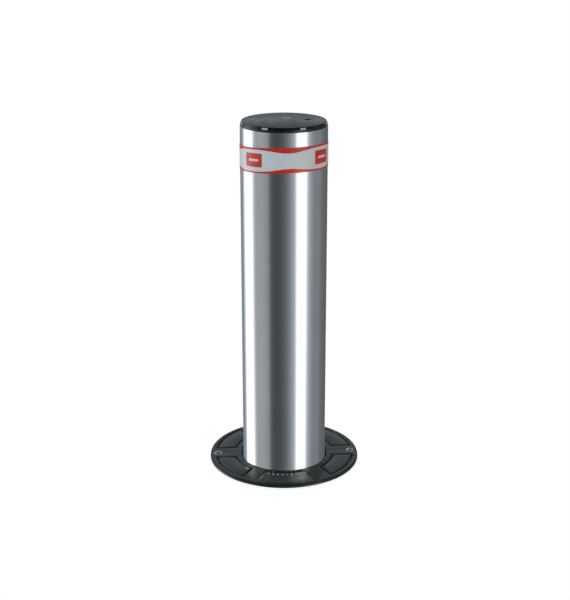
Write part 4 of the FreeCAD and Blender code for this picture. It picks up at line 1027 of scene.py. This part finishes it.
def plate_block(name, grow, low, high):
    """A block in the shape of the plate on the cover's front, grown by this much all round."""
    inner_r, outer_r = PLATE_IN_R - grow, PLATE_OUT_R + grow
    outline = [(inner_r, low), (outer_r, low), (outer_r, high), (inner_r, high)]
    plate = lathe(name, outline, steps=180)
    for turn, aside in PLATE_ENDS:
        place = (0.0, aside * (0.1 + grow), 0.0)
        cut_away(plate, [block("beyond", (0.4, 0.2, 0.1), place, FRONT + turn)])
    cut_away(plate, [block("behind", (0.3, 0.16, 0.1), (0.0, 0.07, 0.0))])
    return plate


def make_cover():
    edge = 2.5 * MM
    outline = (
        [(COVER_HOLE_R, 0.0), (COVER_R - 0.3 * MM, 0.0), (COVER_R, 0.3 * MM)]
        + corner(COVER_R - edge, COVER_TOP - edge, edge, 0.0, 6)
        + corner(COVER_HOLE_R + 0.8 * MM, COVER_TOP - 0.8 * MM, 0.8 * MM, 90.0, 3)
    )
    cover = lathe("cover_casting", outline)
    pockets = sector_blocks("pockets", 0.0, POCKET_FLOOR, COVER_TOP + 2 * MM, 3.5 * MM)
    cut_away(cover, [pockets], tangled=True)
    seat = COVER_TOP - 3.0 * MM
    well = lathe(
        "screw_well",
        [(WELL_HOLE_R, -MM), (WELL_HOLE_R, seat), (WELL_HEAD_R, seat)]
        + [(WELL_HEAD_R, COVER_TOP - 0.3 * MM)]
        + [(6.5 * MM, COVER_TOP + 0.3 * MM)], 64, SCREW_PLACE_R, 0.0, ring=False)
    wells = all_round(well, evenly(2, COVER_TURN))
    cut_away(cover, wells)
    bed = plate_block("plate_bed", PLATE_JOINT, COVER_TOP - 1.4 * MM, COVER_TOP + MM)
    cut_away(cover, [bed])
    eased(cover, 0.25 * MM, 2, 40.0)
    pads = sector_blocks("pads", GROOVE_W, POCKET_FLOOR - 0.3 * MM, PAD_TOP, 1.4 * MM)
    bevel_edges(pads, lambda a, b: min(a.z, b.z) > PAD_TOP - 0.1 * MM, 0.25 * MM, 2)
    plate = plate_block("front_plate", 0.0, COVER_TOP - 1.6 * MM, COVER_TOP + PLATE_UP)
    eased(plate, 0.2 * MM, 2, 50.0)
    ride_as(joined([cover, pads]), "casing", "cover_black", "ground_cover")
    ride_as(plate, "casing", "cover_black", finish="plate_paint")
    clear_selection()
    bpy.ops.mesh.primitive_uv_sphere_add(
        segments=16, ring_count=8, radius=STUD_R,
        location=(STUD_PLACE_R, 0.0, COVER_TOP + PLATE_UP - 0.1 * MM))
    angles = [STUD_FIRST + STUD_PITCH * step for step in range(STUD_COUNT)]
    studs = all_round(named("plate_studs"), angles)
    ride_as(joined(studs), "casing", "zinc_screw", finish="steel_machined")


def make_cover_screws():
    """Low socket-head screws, sunk in the cover on its left and right."""
    head_r, head_low = COVER_SCREW_HEAD_R, COVER_TOP - 3.0 * MM
    tip = COVER_TOP - 12.0 * MM
    outline = (
        [(2.4 * MM, tip), (COVER_SCREW_R, tip + 0.7 * MM), (COVER_SCREW_R, head_low)]
        + [(head_r - 0.2 * MM, head_low), (head_r, head_low + 0.2 * MM)]
        + corner(head_r - 0.5 * MM, COVER_TOP - 0.5 * MM, 0.5 * MM, 0.0, 4)
        + [(3.9 * MM, COVER_TOP)]
    )
    screw = lathe("cover_socket_screws", outline, 64, SCREW_PLACE_R, 0.0, ring=False)
    clear_selection()
    bpy.ops.mesh.primitive_cylinder_add(
        vertices=6, radius=SOCKET_R, depth=SOCKET_SPAN, location=(SCREW_PLACE_R, 0.0, COVER_TOP))
    socket = named("socket")
    cut_away(screw, [socket])
    screws = all_round(screw, evenly(2, COVER_TURN))
    eased(screws[0], 0.1 * MM, 2, 50.0)
    eased(screws[1], 0.1 * MM, 2, 50.0)
    ride_as(joined(screws), "casing", "zinc_screw", "cover_screws")
    # Painted shade: a near-black fill sunk in each screw socket stands in for the shade inside the socket.
    floor = COVER_TOP - 2.3 * MM
    plug = lathe(
        "socket_shade_fill",
        [(3.0 * MM, floor), (3.2 * MM, floor + 0.4 * MM), (3.1 * MM, floor + 1.1 * MM)]
        + [(1.6 * MM, floor + 1.35 * MM)], 32, SCREW_PLACE_R, 0.0, ring=False)
    ride_as(joined(all_round(plug, evenly(2, COVER_TURN))), "casing", "black_rubber")


def make_wiper():
    """A seal with two lips on the tube and a seat under the cover."""
    inner = TUBE_R + 0.8 * MM
    low = levels("wiper_seal")[0]
    outer = outside_radius("wiper_seal")
    lip_tip = corner(inner + 0.9 * MM, 2.1 * MM, 0.9 * MM, 0.0, 8)[:-1]
    outline = (
        [(inner, low), (outer - 0.5 * MM, low), (outer, low + 0.5 * MM)]
        + [(outer, -0.3 * MM), (outer - 0.3 * MM, 0.0), (inner + 3.0 * MM, 0.0)]
        + [(inner + 2.3 * MM, 0.3 * MM), (inner + 2.0 * MM, 1.0 * MM)]
        + lip_tip + [(inner, 2.1 * MM), (inner, -0.2 * MM), (inner + 1.3 * MM, -1.6 * MM)]
        + [(inner + 1.3 * MM, -4.4 * MM), (inner, -6.0 * MM)]
    )
    ride_as(lathe("wiper_lips", outline), "casing", "black_rubber", "wiper_seal", smooth=50.0)


def weld_bead(name, radius, height, size, steps=300):
    """A ring of weld, drawn in at every third section so that it looks laid in steps."""
    clear_selection()
    bpy.ops.mesh.primitive_torus_add(
        major_segments=steps, minor_segments=8, major_radius=radius, minor_radius=size,
        location=(0.0, 0.0, height))
    bead = named(name)
    pick(bead)
    bpy.ops.object.mode_set(mode="EDIT")
    bpy.ops.mesh.select_mode(type="VERT")
    bpy.ops.mesh.select_all(action="DESELECT")
    edit = bmesh.from_edit_mesh(bead.data)
    for vert in edit.verts:
        section = round(math.atan2(vert.co.y, vert.co.x) / (2 * math.pi) * steps)
        vert.select = section % 3 == 0
    bmesh.update_edit_mesh(bead.data)
    bpy.ops.transform.shrink_fatten(value=-0.22 * size)
    bpy.ops.object.mode_set(mode="OBJECT")
    return bead


def flange_holes(name, radius, angles):
    drill = lathe(
        name,
        [(radius + 0.9 * MM, FLANGE_LOW - 0.4 * MM), (radius, FLANGE_LOW + 0.5 * MM)]
        + [(radius, -0.5 * MM), (radius + 0.9 * MM, 0.4 * MM)], 48, SCREW_PLACE_R, 0.0, ring=False)
    return all_round(drill, angles)


def make_flange():
    flange = lathe("flange_ring", pipe_outline(CASING_BORE_R, FLANGE_R, FLANGE_LOW, 0.0, 0.5 * MM))
    cut_away(flange, flange_holes("anchor_hole", 4.5 * MM, evenly(4, 45.0)))
    cut_away(flange, flange_holes("tapped_hole", 3.05 * MM, evenly(2, COVER_TURN)))
    bead = weld_bead("flange_weld", CASING_R + 0.4 * MM, FLANGE_LOW - 0.3 * MM, 1.8 * MM)
    ride_as(joined([flange, bead]), "casing", "galvanised", "casing_flange")


DRAIN_R, DRAIN_BORE_R, DRAIN_OUT = 20.0 * MM, 17.0 * MM, CASING_R + 34.0 * MM
CONDUIT_R, CONDUIT_BORE_R, CONDUIT_OUT = 16.85 * MM, 13.6 * MM, CASING_R + 38.0 * MM
DRAIN_COLLAR_R = 25.0 * MM
DRAIN_COLLAR_OUT = CASING_R + 6.0 * MM
STUB_ROOT = CASING_BORE_R - 6.0 * MM  # where a stub starts before its root is cut
STUB_SLIP = 0.05 * MM
STUB_ROUND = 96
DRAIN_Z = BASE_TOP + 22.0 * MM
CONDUIT_Z = BASE_TOP + 110.0 * MM


def radial_drill(name, radius, z, degrees):
    low, high = CASING_BORE_R - 10 * MM, CASING_R + 10 * MM
    drill = lie_along_x(rod(name, radius, low, high, steps=STUB_ROUND), 0.0)
    drill.location.z = z
    drill.rotation_euler.z = math.radians(degrees)
    settle(drill)
    return drill


def make_casing_tube():
    low, high = BASE_TOP, FLANGE_LOW
    outline = (
        [(CASING_BORE_R, low), (CASING_R, low), (CASING_R, low + 0.07), (CASING_R, low + 0.14)]
        + [(CASING_R, high), (CASING_BORE_R, high)]
        + [(CASING_BORE_R, low + 0.14), (CASING_BORE_R, low + 0.07)]
    )
    tube = lathe("foundation_tube", outline)
    cut_away(tube, [radial_drill("drain_opening", DRAIN_R + STUB_SLIP, DRAIN_Z, 90.0)])
    cut_away(tube, [radial_drill("conduit_opening", CONDUIT_R + STUB_SLIP, CONDUIT_Z, 0.0)])
    seam = block("seam", (1.2 * MM, 5.0 * MM, high - low - 4 * MM),
                 (CASING_R, 0.0, (low + high) / 2), 250.0)
    eased(seam, 0.55 * MM, 3, 40.0)
    ride_as(joined([tube, seam]), "casing", "galvanised", "casing_tube")


def make_base_plate():
    ease = 1.0 * MM
    outline = (
        [(CASING_R - ease, BASE_LOW), (CASING_R, BASE_LOW + ease), (CASING_R, BASE_TOP)]
    )
    plate = lathe("bottom_plate", outline, ring=False)
    foot_r = outside_radius("drive_pillar") - 6.0 * MM
    hole = rod("foot_hole", 3.05 * MM, BASE_LOW + MM, BASE_TOP + MM, foot_r)
    cut_away(plate, all_round(hole, evenly(4, 45.0)))
    bead = weld_bead("bottom_weld", CASING_R + 0.3 * MM, BASE_TOP, 1.7 * MM)
    ride_as(joined([plate, bead]), "casing", "galvanised", "base_plate")


def make_lugs():
    """Bent strips welded to the casing, with a foot that the concrete grips."""
    top, low = -270.0 * MM, -330.0 * MM
    thick, wide, reach = 5.0 * MM, 30.0 * MM, 40.0 * MM
    leg = block(
        "lug", (thick + 5.0 * MM, wide, top - low),
        (CASING_R + thick - (thick + 5.0 * MM) / 2, 0.0, (top + low) / 2))
    arm = block(
        "lug_arm", (reach + 5.0 * MM, wide, thick),
        (CASING_R + (reach - 5.0 * MM) / 2, 0.0, low - thick / 2))
    added_to(leg, [arm])
    bevel_edges(
        leg, lambda a, b: abs(a.x - b.x) < 1e-5 and abs(a.z - b.z) < 1e-5
        and abs(a.x - CASING_R - thick) < 1e-4 and abs(a.z - low) < 1e-4, 3.0 * MM, 4)
    shell = rod("casing_side", CASING_R + 0.05 * MM, low - 0.05, top + 0.05, steps=ROUND)
    cut_away(leg, [shell])
    eased(leg, 0.8 * MM, 2, 50.0)
    welds = []
    for side in (-1, 1):
        angle = math.degrees(math.asin(wide / 2 / CASING_R)) * side
        x, y = polar(CASING_R + 0.6 * MM, angle)
        weld = rod("lug_weld", 2.0 * MM, low + 2 * MM, top - 2 * MM, x, y, 16)
        eased(weld, 0.9 * MM, 3, 40.0)
        welds.append(weld)
    lug = joined([leg] + welds)
    lugs = all_round(lug, evenly(4, 45.0))
    ride_as(joined(lugs, "grip_lugs"), "casing", "galvanised", "anchor_lugs")


def stub_outline(radius, bore, end):
    """Outline of a pipe stub made upright, its end up and its root in the casing's wall."""
    ease = 0.6 * MM
    return [
        (bore, STUB_ROOT), (radius, STUB_ROOT), (radius, end - ease), (radius - ease, end),
        (bore + ease, end), (bore, end - ease),
    ]


def place_stub(stub, z, degrees, root_r=CASING_BORE_R):
    """The stub is laid out from the casing, and its root is cut to this radius about the axis."""
    lie_along_x(stub, z)
    root = rod("casing_round", root_r, z - 0.06, z + 0.06, steps=ROUND)
    cut_away(stub, [root])
    turned_itself(stub, degrees)


def make_stubs():
    drain = lathe("drain_pipe", stub_outline(DRAIN_R, DRAIN_BORE_R, DRAIN_OUT), STUB_ROUND)
    place_stub(drain, DRAIN_Z, 90.0)
    stop = DRAIN_COLLAR_OUT
    collar = lathe(
        "drain_collar",
        [(DRAIN_R - 0.5 * MM, STUB_ROOT), (DRAIN_COLLAR_R, STUB_ROOT)]
        + [(DRAIN_COLLAR_R, stop - 0.8 * MM), (24.2 * MM, stop), (DRAIN_R - 0.5 * MM, stop)],
        STUB_ROUND)
    place_stub(collar, DRAIN_Z, 90.0, CASING_R + STUB_SLIP)
    ride_as(joined([drain, collar]), "casing", "galvanised", "drain_stub")
    conduit = lathe("conduit_pipe", stub_outline(CONDUIT_R, CONDUIT_BORE_R, CONDUIT_OUT), STUB_ROUND)
    place_stub(conduit, CONDUIT_Z, 0.0)
    ride_as(conduit, "casing", "galvanised", "conduit_stub")


STUB_LOW, SCREW_TIP = levels("drive_screw")
SCREW_TOP_SHOULDER = levels("steady_disc")[0]
SCREW_LOW_SHOULDER = levels("bearing_retainer")[1] - 4.0 * MM
LOCK_RING_LOW = levels("screw_lock_ring")[0]
LEAD = 10.0 * MM


def make_drive_screw():
    """Two-start right-hand thread: one lead of its profile is swept up and round."""
    low, high = SCREW_LOW_SHOULDER, SCREW_TOP_SHOULDER
    crest, root = 12.0 * MM, 9.6 * MM
    start = low - LEAD
    outline = []
    for tooth in (0.0, LEAD / 2):
        outline += [(root, 0.2 * MM + tooth), (root, 1.3 * MM + tooth)]
        outline += [(crest, 2.2 * MM + tooth), (crest, 4.2 * MM + tooth)]
    outline.append((root, LEAD + 0.2 * MM))
    clear_selection()
    bpy.ops.mesh.primitive_plane_add(size=MM, location=(root, 0.0, start))
    thread = named("thread")
    bpy.ops.object.mode_set(mode="EDIT")
    bpy.ops.mesh.select_mode(type="VERT")
    bpy.ops.mesh.select_all(action="SELECT")
    bpy.ops.mesh.merge(type="CENTER")
    bpy.ops.transform.translate(value=(0.0, 0.0, outline[0][1]))
    at = outline[0]
    for point in outline[1:]:
        bpy.ops.mesh.extrude_vertices_move(
            TRANSFORM_OT_translate={"value": (point[0] - at[0], 0.0, point[1] - at[1])})
        at = point
    bpy.ops.object.mode_set(mode="OBJECT")
    turns = math.ceil((high - low) / LEAD) + 2
    modified(
        thread, "SCREW", axis="Z", angle=2 * math.pi, screw_offset=LEAD, iterations=turns,
        steps=32, render_steps=32, use_merge_vertices=True, merge_threshold=MERGE)
    pick(thread)
    bpy.ops.object.mode_set(mode="EDIT")
    bpy.ops.mesh.select_all(action="SELECT")
    bpy.ops.mesh.remove_doubles(threshold=MERGE)
    for height, way in ((low + 0.5 * MM, -1.0), (high - 0.5 * MM, 1.0)):
        bpy.ops.mesh.select_all(action="SELECT")
        bpy.ops.mesh.bisect(
            plane_co=(0.0, 0.0, height), plane_no=(0.0, 0.0, way), use_fill=True, clear_outer=True)
    bpy.ops.mesh.select_all(action="SELECT")
    bpy.ops.mesh.normals_make_consistent(inside=False)
    bpy.ops.object.mode_set(mode="OBJECT")
    ends_low = lathe(
        "screw_foot",
        [(7.4 * MM, STUB_LOW), (7.95 * MM, STUB_LOW + 0.6 * MM), (7.95 * MM, LOCK_RING_LOW)]
        + [(9.95 * MM, LOCK_RING_LOW), (9.95 * MM, low), (11.4 * MM, low)]
        + [(crest, low + 0.6 * MM), (crest, low + 6.0 * MM), (root, low + 8.4 * MM)],
        64, ring=False)
    ends_top = lathe(
        "screw_head",
        [(root, high - 5.4 * MM), (crest, high - 3.0 * MM), (crest, high - 0.6 * MM)]
        + [(11.4 * MM, high), (6.0 * MM, high), (6.0 * MM, SCREW_TIP - 0.8 * MM)]
        + [(5.2 * MM, SCREW_TIP)], 64, ring=False)
    ride_as(joined([thread, ends_low, ends_top], "threaded_screw"), "screw", "steel_machined",
            "drive_screw")


make_cap()
make_film()
make_cover()
make_cover_screws()
make_wiper()
make_flange()
make_casing_tube()
make_base_plate()
make_lugs()
make_stubs()
make_drive_screw()
unmirrored(*[bpy.data.objects[name] for name in (
    "cover_casting", "front_plate", "plate_studs", "cover_socket_screws", "socket_shade_fill", "wiper_lips",
    "flange_ring", "foundation_tube")])
unmirrored(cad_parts["guide_collar"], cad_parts["guide_bush"])
